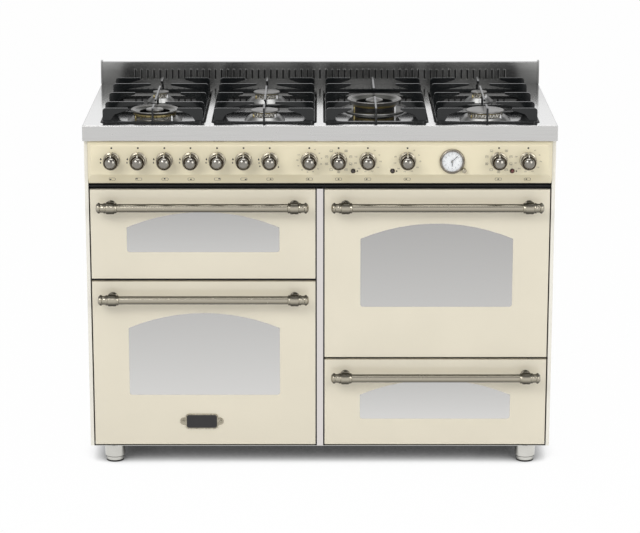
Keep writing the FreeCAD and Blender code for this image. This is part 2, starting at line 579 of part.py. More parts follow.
# name, middle, cavity floor and roof, flange floor and roof, inner and outer flange edge, rack height
OVENS = [
    ("oven_liner_lower_left", "-door_centre", "low_floor", "low_roof", "base_top",
     "(left_split + left_upper) / 2", "-lip", "-strip_half", "low_rack"),
    ("oven_liner_upper_left", "-door_centre", "high_floor", "high_roof",
     "(left_split + left_upper) / 2", "vent_low", "-lip", "-strip_half", "high_rack"),
    ("oven_liner_right", "door_centre", "right_floor", "high_roof", "right_split + 3",
     "vent_low", "strip_half", "lip", "right_rack"),
]
seals = []
racks = []
elements = []
fans = []
for name, x, floor, roof, flange_low, flange_high, left, right, rack in OVENS:
    shell = box(name + "_shell", (f"{x} - oven_half - plate", f"{x} + oven_half + plate"),
                ("flange", "oven_rear + plate"), (f"{floor} - plate", f"{roof} + plate"))
    flange = box(name + "_flange", (left, right), ("flange", "flange_back"), (flange_low, flange_high))
    room = box(name + "_room", (f"{x} - oven_half", f"{x} + oven_half"), ("flange - 5", "oven_rear"),
               (floor, roof))
    open_box = cut(name + "_open", fuse(name + "_joined", shell, flange), room)
    ribs = []
    for sign in ("-1", "1"):
        edges = (f"{x} + {sign} * oven_half", f"{x} + {sign} * (oven_half - 9)")
        ribs.append(box(f"{name}_rib_{'r' if sign == '1' else 'l'}", edges if sign == "-1" else edges[::-1],
                        ("flange + 15", "oven_rear"), (f"{rack} - 4", rack)))
    node(name, fuse(name + "_all", open_box, *ribs))
    ring_out = box(name + "_seal_out", (f"{x} - oven_half - 14", f"{x} + oven_half + 14"),
                   ("flange - 1.7", "flange"), (f"{floor} - 14", f"{roof} + 14"))
    ring_in = box(name + "_seal_in", (f"{x} - oven_half - 4", f"{x} + oven_half + 4"),
                  ("flange - 3", "flange + 1"), (f"{floor} - 4", f"{roof} + 4"))
    seals.append(cut(name + "_seal", ring_out, ring_in))
    y_rack = ("flange + 30", "oven_rear - 22")
    frame_out = box(name + "_rack_out", (f"{x} - oven_half + 2", f"{x} + oven_half - 2"), y_rack,
                    (rack, f"{rack} + 6"))
    frame_in = box(name + "_rack_in", (f"{x} - oven_half + 8", f"{x} + oven_half - 8"),
                   ("flange + 36", "oven_rear - 28"), (f"{rack} - 1", f"{rack} + 7"))
    wires = []
    for i in range(13):
        across = f"{x} + {i - 6} * oven_half * 0.14"
        wires.append(box(f"{name}_wire_{i}", (f"{across} - 2", f"{across} + 2"),
                         ("flange + 32", "oven_rear - 24"), (f"{rack} + 1", f"{rack} + 5")))
    racks.append(fuse(name + "_rack", cut(name + "_rack_frame", frame_out, frame_in), *wires))
    if name != "oven_liner_lower_left":
        rods = [cylinder(f"{name}_rod_{i}", "+Y", f"{x} + {i - 1.5} * 90", "flange + 60", f"{roof} - 16", "4",
                         "oven_rear - flange - 60") for i in range(4)]
        bends = [box(f"{name}_bend_{i}", (f"{x} + {low}", f"{x} + {high}"), (y, f"{y} + 8"),
                     (f"{roof} - 20", f"{roof} - 12"))
                 for i, (low, high, y) in enumerate(((-139, -41, "flange + 56"), (41, 139, "flange + 56"),
                                                     (-49, 49, "oven_rear - 40")))]
        elements.append(fuse(name + "_element", *rods, *bends))
    if name != "oven_liner_upper_left":
        disc = cylinder(name + "_fan", "+Y", x, "oven_rear - 14", f"({floor} + {roof}) / 2", "90", "14")
        ports = []
        for i in range(6):
            dx, dz = 52 * math.cos(math.pi * i / 3), 52 * math.sin(math.pi * i / 3)
            ports.append(cylinder(f"{name}_port_{i}", "+Y", f"{x} + {dx:.3f}", "oven_rear - 20",
                                  f"({floor} + {roof}) / 2 + {dz:.3f}", "14", "17"))
        dish = cylinder(name + "_fan_dish", "+Y", x, "oven_rear - 12.8", f"({floor} + {roof}) / 2", "88.8", "14")
        fans.append(cut(name + "_fan_cut", disc, dish, *ports))
node("door_seals", group("seal_set", *seals))
node("oven_racks", group("rack_set", *racks))
node("grill_elements", group("element_set", *elements))
node("fan_covers", group("fan_set", *fans))

# Fronts -------------------------------------------------------------------------------------------

leaves = []


def front_panel(name, x, low, high, sill, shoulder, hinged):
    """The cream front: a folded sheet with an arched window, notched for its hinges."""
    panel = doc.addObject("PartDesign::Body", name + "_body")
    outer = body_sketch(panel, name + "_outer", "XZ", [
        ("-door_width / 2", low), ("door_width / 2", low), ("door_width / 2", high), ("-door_width / 2", high)])
    pad = panel.newObject("PartDesign::Pad", name + "_pad")
    pad.Profile = outer
    drive(pad, "Length", "skin_return")
    inner = body_sketch(panel, name + "_inner", "XZ", [
        ("skin - door_width / 2", f"{low} + skin"), ("door_width / 2 - skin", f"{low} + skin"),
        ("door_width / 2 - skin", f"{high} - skin"), ("skin - door_width / 2", f"{high} - skin")])
    pan = panel.newObject("PartDesign::Pocket", name + "_pan")
    pan.Profile = inner
    pan.Reversed = True
    drive(pan, "Length", "skin_return - skin")
    window = body_sketch(panel, name + "_window", "XZ", [
        ("window_corner - window_width / 2", f"{low} + {sill}", "window_corner"),
        ("window_width / 2 - window_corner", f"{low} + {sill}"),
        ("window_width / 2", f"{low} + {sill} + window_corner", "window_corner"),
        ("window_width / 2", f"{low} + {sill} + {shoulder}"),
        ("-window_width / 2", f"{low} + {sill} + {shoulder}", "arch"),
        ("-window_width / 2", f"{low} + {sill} + window_corner")])
    arch = panel.newObject("PartDesign::Pocket", name + "_arch")
    arch.Profile = window
    arch.Reversed = True
    drive(arch, "Length", "skin_return + 5")
    place(panel, x, "face + skin_return", "0")
    if not hinged:
        return node(name, panel)
    slots = [box(f"{name}_slot_{i}", (f"{x} + {sign} * hinge_spread - 7", f"{x} + {sign} * hinge_spread + 7"),
                 ("face + skin", "door_rear"), (f"{low} - 1", f"{low} + skin")) for i, sign in enumerate((-1, 1))]
    return node(name, cut(name + "_all", panel, *slots))


def glazing(name, x, low, sill, shoulder, inner_pane):
    """A pane behind the window, and for an oven door a second one at its back."""
    panes = []
    for i, y in enumerate(("face + skin", "door_rear - plate - pane") if inner_pane else ("face + skin",)):
        panes.append(box(f"{name}_pane_{i}",
                         (f"{x} - window_width / 2 - pane_margin", f"{x} + window_width / 2 + pane_margin"),
                         (y, f"{y} + pane"),
                         (f"{low} + {sill} - pane_margin", f"{low} + {sill} + {shoulder} + window_rise + pane_margin")))
    return node(name, group(name + "_set", *panes))


def tray(name, x, low, high, sill, shoulder, rear):
    """The inner sheet of a front, a pan with a collar around its panes."""
    left, right = f"{x} - door_width / 2 + skin", f"{x} + door_width / 2 - skin"
    outer = box(name + "_outer", (left, right), ("face + skin", rear), (f"{low} + skin", f"{high} - skin"))
    inner = box(name + "_inner", (f"{left} + plate", f"{right} - plate"), ("face", f"{rear} - plate"),
                (f"{low} + skin + plate", f"{high} - skin - plate"))
    reach = [(f"{x} - window_width / 2 - pane_margin", f"{x} + window_width / 2 + pane_margin"),
             (f"{low} + {sill} - pane_margin", f"{low} + {sill} + {shoulder} + window_rise + pane_margin")]
    collar_out = box(name + "_collar_out", (f"{reach[0][0]} - plate", f"{reach[0][1]} + plate"),
                     ("face + skin", rear), (f"{reach[1][0]} - plate", f"{reach[1][1]} + plate"))
    collar_in = box(name + "_collar_in", reach[0], ("face", f"{rear} - plate"), reach[1])
    light = box(name + "_light", (f"{x} - window_width / 2 + 5", f"{x} + window_width / 2 - 5"),
                ("face", f"{rear} + 5"), (f"{low} + {sill}", f"{low} + {sill} + {shoulder} + window_rise - 20"))
    shell = fuse(name + "_shell", cut(name + "_pan", outer, inner), collar_out)
    return cut(name + "_tray", shell, collar_in, light)


def door_frame(name, x, low, high, sill, shoulder):
    """The inner sheet of a hinged door with the pins it swings on."""
    body = tray(name, x, low, high, sill, shoulder, "door_rear")
    notches = []
    pins = []
    for i, sign in enumerate((-1, 1)):
        mid = f"{x} + {sign} * hinge_spread"
        notches.append(box(f"{name}_notch_{i}", (f"{mid} - 7", f"{mid} + 7"), ("face", "door_rear + 1"),
                           (f"{low} - 1", f"{low} + axis_up + 9")))
        for j, (a, b) in enumerate((("-9", "-7"), ("7", "9"))):
            pins.append(box(f"{name}_cheek_{i}_{j}", (f"{mid} + {a}", f"{mid} + {b}"),
                            ("face + skin", "door_rear - plate"), (f"{low} + skin", f"{low} + axis_up + 9")))
        pins.append(cylinder(f"{name}_pin_{i}", "+X", f"{mid} - 8", "face + axis_in", f"{low} + axis_up",
                             "pin_radius", "16"))
        arm = box(f"{name}_leaf_arm_{i}", (f"{mid} - 1.5", f"{mid} + 1.5"), ("face + axis_in", "flange"),
                  (f"{low} + axis_up - 3.5", f"{low} + axis_up + 3.5"))
        eye = cylinder(f"{name}_leaf_eye_{i}", "+X", f"{mid} - 1.5", "face + axis_in", f"{low} + axis_up",
                       "pin_radius + 1.7", "3")
        foot = box(f"{name}_leaf_foot_{i}", (f"{mid} - 5", f"{mid} + 5"), ("flange - 1", "flange"),
                   (f"{low} + axis_up - 6", f"{low} + axis_up + 6"))
        bore = cylinder(f"{name}_leaf_bore_{i}", "+X", f"{mid} - 5", "face + axis_in", f"{low} + axis_up",
                        "pin_radius + fit_gap", "10")
        leaves.append(cut(f"{name}_leaf_{i}", fuse(f"{name}_leaf_joined_{i}", arm, eye, foot), bore))
    return node(name, fuse(name + "_all", cut(name + "_notched", body, *notches), *pins))


def handle(name, x, high):
    """A round bar on two posts, with barrels and domed ends."""
    half = [("0", "post_spread + 37"), ("9", "post_spread + 34.5"), ("13", "post_spread + 28.5"),
            ("bar_radius", "post_spread + 24.5"),
            ("bar_radius", "post_spread + 16"), ("15.5", "post_spread + 11"), ("15.5", "post_spread - 11"),
            ("bar_radius", "post_spread - 16")]
    points = half + [(a, f"-({b})") for a, b in half[::-1]]
    parts = [turned(name + "_bar", points, "+X", x, "face - handle_stand", f"{high} - handle_drop")]
    for i, sign in enumerate((-1, 1)):
        spot = (f"{x} + {sign} * post_spread", "face", f"{high} - handle_drop")
        parts.append(cylinder(f"{name}_post_{i}", "-Y", *spot, "8", "handle_stand"))
        parts.append(cylinder(f"{name}_rose_{i}", "-Y", *spot, "15.5", "4"))
    return node(name, fuse(name + "_all", *parts))


# name, middle, bottom, top, window
DOORS = [
    ("door_upper_left", "-door_centre", "left_upper", "fronts_top", "short_sill", "short_shoulder"),
    ("door_lower_left", "-door_centre", "sill_low", "left_split", "tall_sill", "left_shoulder"),
    ("door_right", "door_centre", "right_upper", "fronts_top", "tall_sill", "right_shoulder"),
]
for name, x, low, high, sill, shoulder in DOORS:
    front_panel(name + "_panel", x, low, high, sill, shoulder, True)
    glazing(name + "_glazing", x, low, sill, shoulder, True)
    door_frame(name + "_frame", x, low, high, sill, shoulder)
    handle(name + "_handle", x, high)
node("hinge_leaves", group("leaf_set", *leaves))

# Drawer -------------------------------------------------------------------------------------------

front_panel("drawer_front", "door_centre", "sill_low", "right_split", "short_sill", "short_shoulder", False)
glazing("drawer_glazing", "door_centre", "sill_low", "short_sill", "short_shoulder", False)
handle("drawer_handle", "door_centre", "right_split")
drawer_tray = tray("drawer_inner", "door_centre", "sill_low", "right_split", "short_sill", "short_shoulder",
                   "face + skin_return")
tub_out = box("tub_out", ("door_centre - drawer_half", "door_centre + drawer_half"),
              ("face + skin_return", "front + drawer_back"), ("drawer_low", "drawer_high"))
tub_in = box("tub_in", ("door_centre - drawer_half + plate", "door_centre + drawer_half - plate"),
             ("face + skin_return + plate", "front + drawer_back - plate"), ("drawer_low + plate", "drawer_high + 1"))
node("drawer_box", fuse("drawer_all", drawer_tray, cut("tub", tub_out, tub_in)))

runners = []
for i, sign in enumerate((-1, 1)):
    wall = (f"door_centre + {sign} * (drawer_half + 2)", f"door_centre + {sign} * (drawer_half + 4)")
    ledge = (f"door_centre + {sign} * (drawer_half - 12)", f"door_centre + {sign} * (drawer_half + 2.5)")
    runners.append(fuse(
        f"runner_{i}",
        box(f"runner_wall_{i}", wall[::sign], ("flange_back", "back - 16"), ("base_top", "base_top + 60")),
        box(f"runner_ledge_{i}", ledge[::sign], ("flange_back", "back - 16"),
            ("drawer_low - 2.05", "drawer_low - fit_gap"))))
node("drawer_runners", group("runner_set", *runners))

# Check and export ---------------------------------------------------------------------------------

doc.recompute()
broken = [thing.Name for thing in doc.Objects if {"Invalid", "Error"} & set(thing.State)]
if broken:
    raise RuntimeError("these objects did not compute: " + ", ".join(broken[:10]))
os.makedirs("parts", exist_ok=True)
for name, thing in nodes:
    shape = thing.Shape
    if thing.Label != name or not shape.Solids or not shape.isValid():
        raise RuntimeError("this sub-part is not a valid solid: " + name)
    shape.exportStep(f"parts/{name}.step")
print(len(nodes), "sub-parts")
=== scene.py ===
import json
import math

import bmesh
import bpy
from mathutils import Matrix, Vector
from mathutils.geometry import tessellate_polygon


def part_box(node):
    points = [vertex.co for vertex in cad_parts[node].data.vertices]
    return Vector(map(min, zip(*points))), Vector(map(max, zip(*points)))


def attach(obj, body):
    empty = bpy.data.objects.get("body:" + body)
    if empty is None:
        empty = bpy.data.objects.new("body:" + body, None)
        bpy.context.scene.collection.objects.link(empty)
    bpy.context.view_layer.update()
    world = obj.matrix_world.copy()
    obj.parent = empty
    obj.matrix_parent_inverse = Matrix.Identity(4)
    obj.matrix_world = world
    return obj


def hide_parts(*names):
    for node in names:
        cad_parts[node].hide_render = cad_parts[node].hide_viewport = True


# The looks of a 120 cm range cooker. Shapes here are drawn in millimetres, in the frame's own axes.

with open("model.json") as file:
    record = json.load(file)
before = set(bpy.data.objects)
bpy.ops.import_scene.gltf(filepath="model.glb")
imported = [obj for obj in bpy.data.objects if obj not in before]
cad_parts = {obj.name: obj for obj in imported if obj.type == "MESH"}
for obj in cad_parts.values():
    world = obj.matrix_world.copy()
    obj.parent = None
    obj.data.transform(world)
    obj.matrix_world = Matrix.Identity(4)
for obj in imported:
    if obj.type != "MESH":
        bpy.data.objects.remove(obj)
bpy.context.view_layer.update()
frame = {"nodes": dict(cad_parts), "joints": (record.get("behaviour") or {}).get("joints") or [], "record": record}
MM = 0.001
JOINTS = {joint["name"]: joint for joint in frame["joints"]}
BODY_OF = {node: body for body, nodes in frame["record"]["behaviour"]["bodies"].items() for node in nodes}
SLOT_OF = {entry["node"]: entry["material_slot"] for entry in frame["record"]["subparts"]}


def span(node):
    """The lowest and highest corner of a node, in millimetres."""
    low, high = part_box(node)
    return low / MM, high / MM


def pivot(joint):
    return Vector(JOINTS[joint]["pos_m"]) / MM


# --- Materials ---

BUMP_DEPTH = 0.0002


class Nodes:
    """A node tree, with short ways to add nodes and to join them."""

    def __init__(self, owner):
        owner.use_nodes = True
        self.tree = owner.node_tree

    def set(self, node, **values):
        """Values for a node's inputs, with an underscore for each space in a name."""
        for socket, value in values.items():
            node.inputs[socket.replace("_", " ")].default_value = value
        return node

    def node(self, kind, **values):
        return self.set(self.tree.nodes.new("ShaderNode" + kind), **values)

    def link(self, source, node, socket):
        self.tree.links.new(source, node.inputs[socket])

    def ramp(self, factor, stops):
        ramp = self.node("ValToRGB")
        while len(ramp.color_ramp.elements) < len(stops):
            ramp.color_ramp.elements.new(0.5)
        for element, (position, colour) in zip(ramp.color_ramp.elements, stops):
            element.position = position
            element.color = (*colour, 1)
        self.link(factor, ramp, "Fac")
        return ramp.outputs["Color"]

    def mix(self, share, first, second):
        """One shader in place of another by a share."""
        mix = self.node("MixShader")
        self.link(share, mix, "Fac")
        self.link(first, mix, 1)
        self.link(second, mix, 2)
        return mix.outputs[0]


class Finish(Nodes):
    """A material with one Principled shader and the textures that vary it over the surface."""

    def __init__(self, name, colour, roughness, metallic=0.0, **shader):
        self.material = bpy.data.materials.new(name)
        super().__init__(self.material)
        self.shader = self.tree.nodes["Principled BSDF"]
        self.set(self.shader, Base_Color=(*colour, 1), Roughness=roughness, Metallic=metallic, **shader)
        self.material.diffuse_color = (*colour, 1)

    def place(self, stretch=(1, 1, 1)):
        """Object coordinates in metres, stretched along an axis for brushed metal."""
        mapping = self.node("Mapping", Scale=stretch)
        self.link(self.node("TexCoord").outputs["Object"], mapping, "Vector")
        return mapping.outputs["Vector"]

    def noise(self, scale, detail=3.0, stretch=(1, 1, 1)):
        noise = self.node("TexNoise", Scale=scale, Detail=detail)
        self.link(self.place(stretch), noise, "Vector")
        return noise.outputs["Fac"]

    def vary_colour(self, factor, stops):
        self.link(self.ramp(factor, stops), self.shader, "Base Color")

    def vary_roughness(self, factor, low, high):
        spread = self.node("MapRange", To_Min=low, To_Max=high)
        self.link(factor, spread, "Value")
        self.link(spread.outputs["Result"], self.shader, "Roughness")

    def bump(self, factor, strength):
        bump = self.node("Bump", Strength=strength, Distance=BUMP_DEPTH)
        self.link(factor, bump, "Height")
        self.link(bump.outputs["Normal"], self.shader, "Normal")
        return self

    def share_along(self, axis, low, high):
        """How far a point lies from one place to another along an axis, from 0 to 1."""
        split = self.node("SeparateXYZ")
        self.link(self.place(), split, "Vector")
        spread = self.node("MapRange", From_Min=low, From_Max=high)
        self.link(split.outputs[axis], spread, "Value")
        return spread.outputs["Result"]


def scaled(colour, factor):
    return tuple(min(1.0, channel * factor) for channel in colour)


def enamel(name, colour):
    """Gloss vitreous enamel, with a faint cloudiness and orange peel."""
    finish = Finish(name, colour, 0.32, Coat_Weight=0.7, Coat_Roughness=0.06)
    finish.vary_colour(finish.noise(5.0, 2.0), [(0.3, scaled(colour, 0.975)), (0.7, scaled(colour, 1.02))])
    finish.vary_roughness(finish.noise(30.0), 0.27, 0.37)
    return finish.bump(finish.noise(420.0, 1.0), 0.05).material


def brushed(name, colour, roughness, along, depth=0.12):
    """Steel with a fine grain along one axis."""
    stretch = tuple(0.012 if i == "XYZ".index(along) else 1.0 for i in range(3))
    finish = Finish(name, colour, roughness, 1.0)
    grain = finish.noise(900.0, 3.0, stretch)
    finish.vary_colour(grain, [(0.25, scaled(colour, 0.96)), (0.75, scaled(colour, 1.03))])
    finish.vary_roughness(finish.noise(7.0, 4.0), roughness * 0.85, roughness * 1.2)
    return finish.bump(grain, depth).material


def shaded(name, tones, roughness, axis, low, high):
    """Steel with a faint cross grain, and a painted reflection: its tone changes from one end to the other."""
    finish = Finish(name, (tones[0][1],) * 3, roughness, 1.0)
    colours = [(place, (tone, tone, tone * 0.98)) for place, tone in tones]
    finish.vary_colour(finish.share_along(axis, low, high), colours)
    finish.vary_roughness(finish.noise(7.0, 4.0), roughness * 0.85, roughness * 1.2)
    return finish.bump(finish.noise(900.0, 3.0, (0.012, 1, 1)), 0.01).material


def pewter(name, light, dark, roughness):
    """Antique metal, rubbed bright on top of a dark patina."""
    finish = Finish(name, light, roughness, 1.0)
    finish.vary_colour(finish.noise(95.0, 5.0), [(0.34, dark), (0.62, light)])
    finish.vary_roughness(finish.noise(160.0), roughness - 0.06, roughness + 0.10)
    return finish.bump(finish.noise(380.0), 0.06).material


def rubbed_bar(name, middle, radius):
    """An antique bar lying along X, with a painted highlight along its front and painted shade along its top and
    underside.
    """
    tones = [(0.0, 0.03), (0.2, 0.05), (0.32, 0.20), (0.5, 0.42), (0.68, 0.46), (0.80, 0.10), (1.0, 0.03)]
    finish = Finish(name, (0.34, 0.31, 0.24), 0.26, 1.0)
    across = finish.share_along("Z", middle - radius, middle + radius)
    finish.vary_colour(across, [(place, (tone, tone * 0.92, tone * 0.74)) for place, tone in tones])
    finish.vary_roughness(finish.noise(60.0), 0.22, 0.30)
    return finish.bump(finish.noise(300.0, 2.0), 0.02).material


def plain(name, colour, roughness, metallic=0.0, grain=300.0, **shader):
    """A finish with only a slight unevenness in tone and gloss."""
    finish = Finish(name, colour, roughness, metallic, **shader)
    finish.vary_colour(finish.noise(18.0), [(0.3, scaled(colour, 0.92)), (0.7, scaled(colour, 1.06))])
    finish.vary_roughness(finish.noise(40.0), roughness * 0.85, min(1.0, roughness * 1.15))
    return finish.bump(finish.noise(grain, 2.0), 0.06).material


def reflective_window(name, colour, low, high):
    """Silvered glass with a painted reflection, a little darker towards its top."""
    finish = Finish(name, colour, 0.22, 1.0)
    tones = [(0.0, scaled(colour, 1.10)), (1.0, scaled(colour, 0.86))]
    finish.vary_colour(finish.share_along("Z", low, high), tones)
    return finish.bump(finish.noise(40.0, 1.0), 0.03).material


def speckled(name, colour, fleck):
    """Dark oven enamel with pale flecks."""
    finish = Finish(name, colour, 0.3, Coat_Weight=0.4, Coat_Roughness=0.1)
    finish.vary_colour(finish.noise(900.0, 1.0), [(0.62, colour), (0.72, fleck)])
    return finish.bump(finish.noise(300.0), 0.05).material


CREAM = enamel("cream_enamel", (0.76, 0.70, 0.56))
CREAM_PANEL = enamel("cream_panel", (0.80, 0.72, 0.51))
CREAM_SIDE = enamel("cream_side", (0.83, 0.80, 0.71))
# painted reflection: the worktop and the wells lighter towards the front, the upstand lighter towards its top
TOP_STEEL = shaded("worktop_steel", [(0, 0.80), (0.5, 0.74), (1, 0.52)], 0.13, "Y", -0.32, 0.27)
FOLD_STEEL = brushed("worktop_fold", (0.585, 0.58, 0.57), 0.26, "X", 0.04)
WELL_STEEL = shaded("well_steel_painted_reflection", [(0, 0.42), (0.2, 0.34), (0.42, 0.16), (1, 0.11)], 0.09, "Y", -0.30, 0.22)
BACK_STEEL = shaded("upstand_steel_painted_reflection", [(0, 0.16), (0.6, 0.21), (1, 0.35)], 0.24, "Z", 0.90, 0.96)
SLOT_SHADE = plain("slot_shade", (0.006, 0.006, 0.006), 0.6)
CASE_STEEL = brushed("case_steel", (0.58, 0.58, 0.57), 0.30, "Z")
FOOT_STEEL = plain("foot_steel", (0.62, 0.61, 0.57), 0.13, 1.0, 120.0)
ZINC = plain("zinc_sheet", (0.50, 0.51, 0.52), 0.42, 0.85, 120.0)
STRIP = brushed("strip_steel", (0.72, 0.685, 0.665), 0.35, "Z")
BLACK_TRIM = plain("vent_black", (0.002, 0.002, 0.002), 0.5, Specular_IOR_Level=0.15)
# the vent bar's grey: painted highlight
VENT_BAR_PAINTED_HIGHLIGHT = plain("vent_line_painted_highlight", (0.10, 0.10, 0.10), 0.3, 0.6)
OVEN = speckled("oven_enamel", (0.035, 0.036, 0.040), (0.20, 0.20, 0.21))
PEWTER = pewter("antique_brass", (0.47, 0.43, 0.34), (0.30, 0.27, 0.205), 0.25)
BEZEL = pewter("clock_bezel", (0.33, 0.30, 0.25), (0.24, 0.22, 0.18), 0.24)
CAP_METAL = pewter("antique_cap", (0.28, 0.265, 0.235), (0.23, 0.215, 0.19), 0.16)
# the knob pointer lighter than the knob's metal: painted highlight
POINTER_PAINTED_HIGHLIGHT = plain("knob_pointer_painted_highlight", (0.78, 0.75, 0.66), 0.25, 1.0)
# patina and painted shade: the knobs' necks and ring sides dark, their front bands a mid tone
PATINA_AND_PAINTED_SHADE = pewter("patina_and_painted_shade", (0.060, 0.048, 0.034), (0.030, 0.024, 0.017), 0.40)
PATINA_MID_AND_PAINTED_SHADE = pewter("patina_mid_and_painted_shade", (0.22, 0.195, 0.165), (0.13, 0.115, 0.095), 0.32)
IRON = plain("support_iron", (0.005, 0.006, 0.0065), 0.22, 0.0, 260.0, Specular_IOR_Level=0.35,
             Coat_Weight=0.25, Coat_Roughness=0.08)
ALLOY = plain("burner_alloy", (0.60, 0.58, 0.53), 0.24, 1.0, 160.0)
SKIRT = plain("burner_skirt", (0.26, 0.26, 0.255), 0.32, 1.0, 120.0)
# painted shade: black for the burners' hollows, necks and port gaps
PAINTED_SHADE_BLACK = plain("burner_painted_shade", (0.02, 0.02, 0.02), 0.3, 0.4)
LID = plain("burner_lid", (0.225, 0.22, 0.21), 0.30, 0.75, 240.0)
# painted shade on the inner side of the ring and wok dishes
DISH_PAINTED_SHADE = plain("burner_dish_painted_shade", (0.12, 0.12, 0.11), 0.26, 0.9, 200.0)
PORTS = plain("flame_ports", (0.44, 0.36, 0.17), 0.32, 1.0)
RUBBER = plain("seal_rubber", (0.018, 0.018, 0.018), 0.7)
AMBER = plain("lamp_amber", (0.020, 0.008, 0.003), 0.12, Coat_Weight=0.6)
RED = plain("lamp_red", (0.12, 0.008, 0.004), 0.12, Coat_Weight=0.6)
INK = plain("panel_marks", (0.012, 0.010, 0.008), 0.6)
INK_PALE = plain("panel_outlines", (0.10, 0.08, 0.05), 0.6)
DIAL = plain("clock_dial", (0.90, 0.90, 0.90), 0.45)
HANDS = plain("hand_black", (0.02, 0.02, 0.025), 0.3)
CLEAR = plain("clear_glass", (0.99, 0.99, 0.99), 0.03, Transmission_Weight=1.0, IOR=1.45)
CLOCK_GLASS = plain("clock_glass", (0.9, 0.95, 1.0), 0.03, Alpha=0.10)
CHROME = plain("rack_chrome", (0.72, 0.72, 0.72), 0.16, 1.0)
ELEMENT = plain("element_steel", (0.12, 0.11, 0.10), 0.4, 0.9)
BRASS = plain("gear_brass", (0.70, 0.54, 0.26), 0.32, 1.0)
PLATE_DARK = plain("plate_dark", (0.016, 0.014, 0.014), 0.4)

NODE_FINISH = {
    "cream_enamel": CREAM, "worktop_steel": TOP_STEEL, "case_steel": CASE_STEEL, "strip_grey": STRIP,
    "vent_black": BLACK_TRIM, "oven_enamel": OVEN, "antique_brass": PEWTER, "support_iron": IRON,
    "burner_alloy": ALLOY, "burner_enamel": LID, "clear_glass": CLEAR, "seal_rubber": RUBBER,
    "lamp_lens": AMBER, "hand_black": HANDS, "element_steel": ELEMENT, "gear_brass": BRASS,
    "rack_chrome": CHROME, "window_glass": CLEAR,
}
for node, thing in frame["nodes"].items():
    thing.data.materials.clear()
    thing.data.materials.append(NODE_FINISH[SLOT_OF[node]])
frame["nodes"]["rear_panel"].data.materials[0] = ZINC
frame["nodes"]["clock_glass"].data.materials[0] = CLOCK_GLASS

# --- Shapes ---

X, Y, Z = Vector((1, 0, 0)), Vector((0, 1, 0)), Vector((0, 0, 1))
WAYS = {"+Z": (X, Y, Z), "-Y": (X, Z, -Y), "+X": (Y, Z, X), "+Y": (Z, X, Y)}


def bands(rows, size, closed=False):
    """Faces between neighbouring rows of points, where each row runs round in a ring."""
    faces = []
    for k in range(rows if closed else rows - 1):
        a, b = k * size, (k + 1) % rows * size
        faces += [(a + i, a + (i + 1) % size, b + (i + 1) % size, b + i) for i in range(size)]
    return faces


def turned(outline, spot, way, segments, flutes=0):
    """Points of an outline of radius, length and flute depth, turned about an axis through a spot."""
    u, v, axis = WAYS[way]
    points = []
    for radius, length, *depth in outline:
        for i in range(segments):
            angle = 2 * math.pi * i / segments
            out = radius - sum(depth) * (0.5 - 0.5 * math.cos(flutes * angle)) ** 0.6
            points.append(Vector(spot) + axis * length + (u * math.cos(angle) + v * math.sin(angle)) * out)
    return points


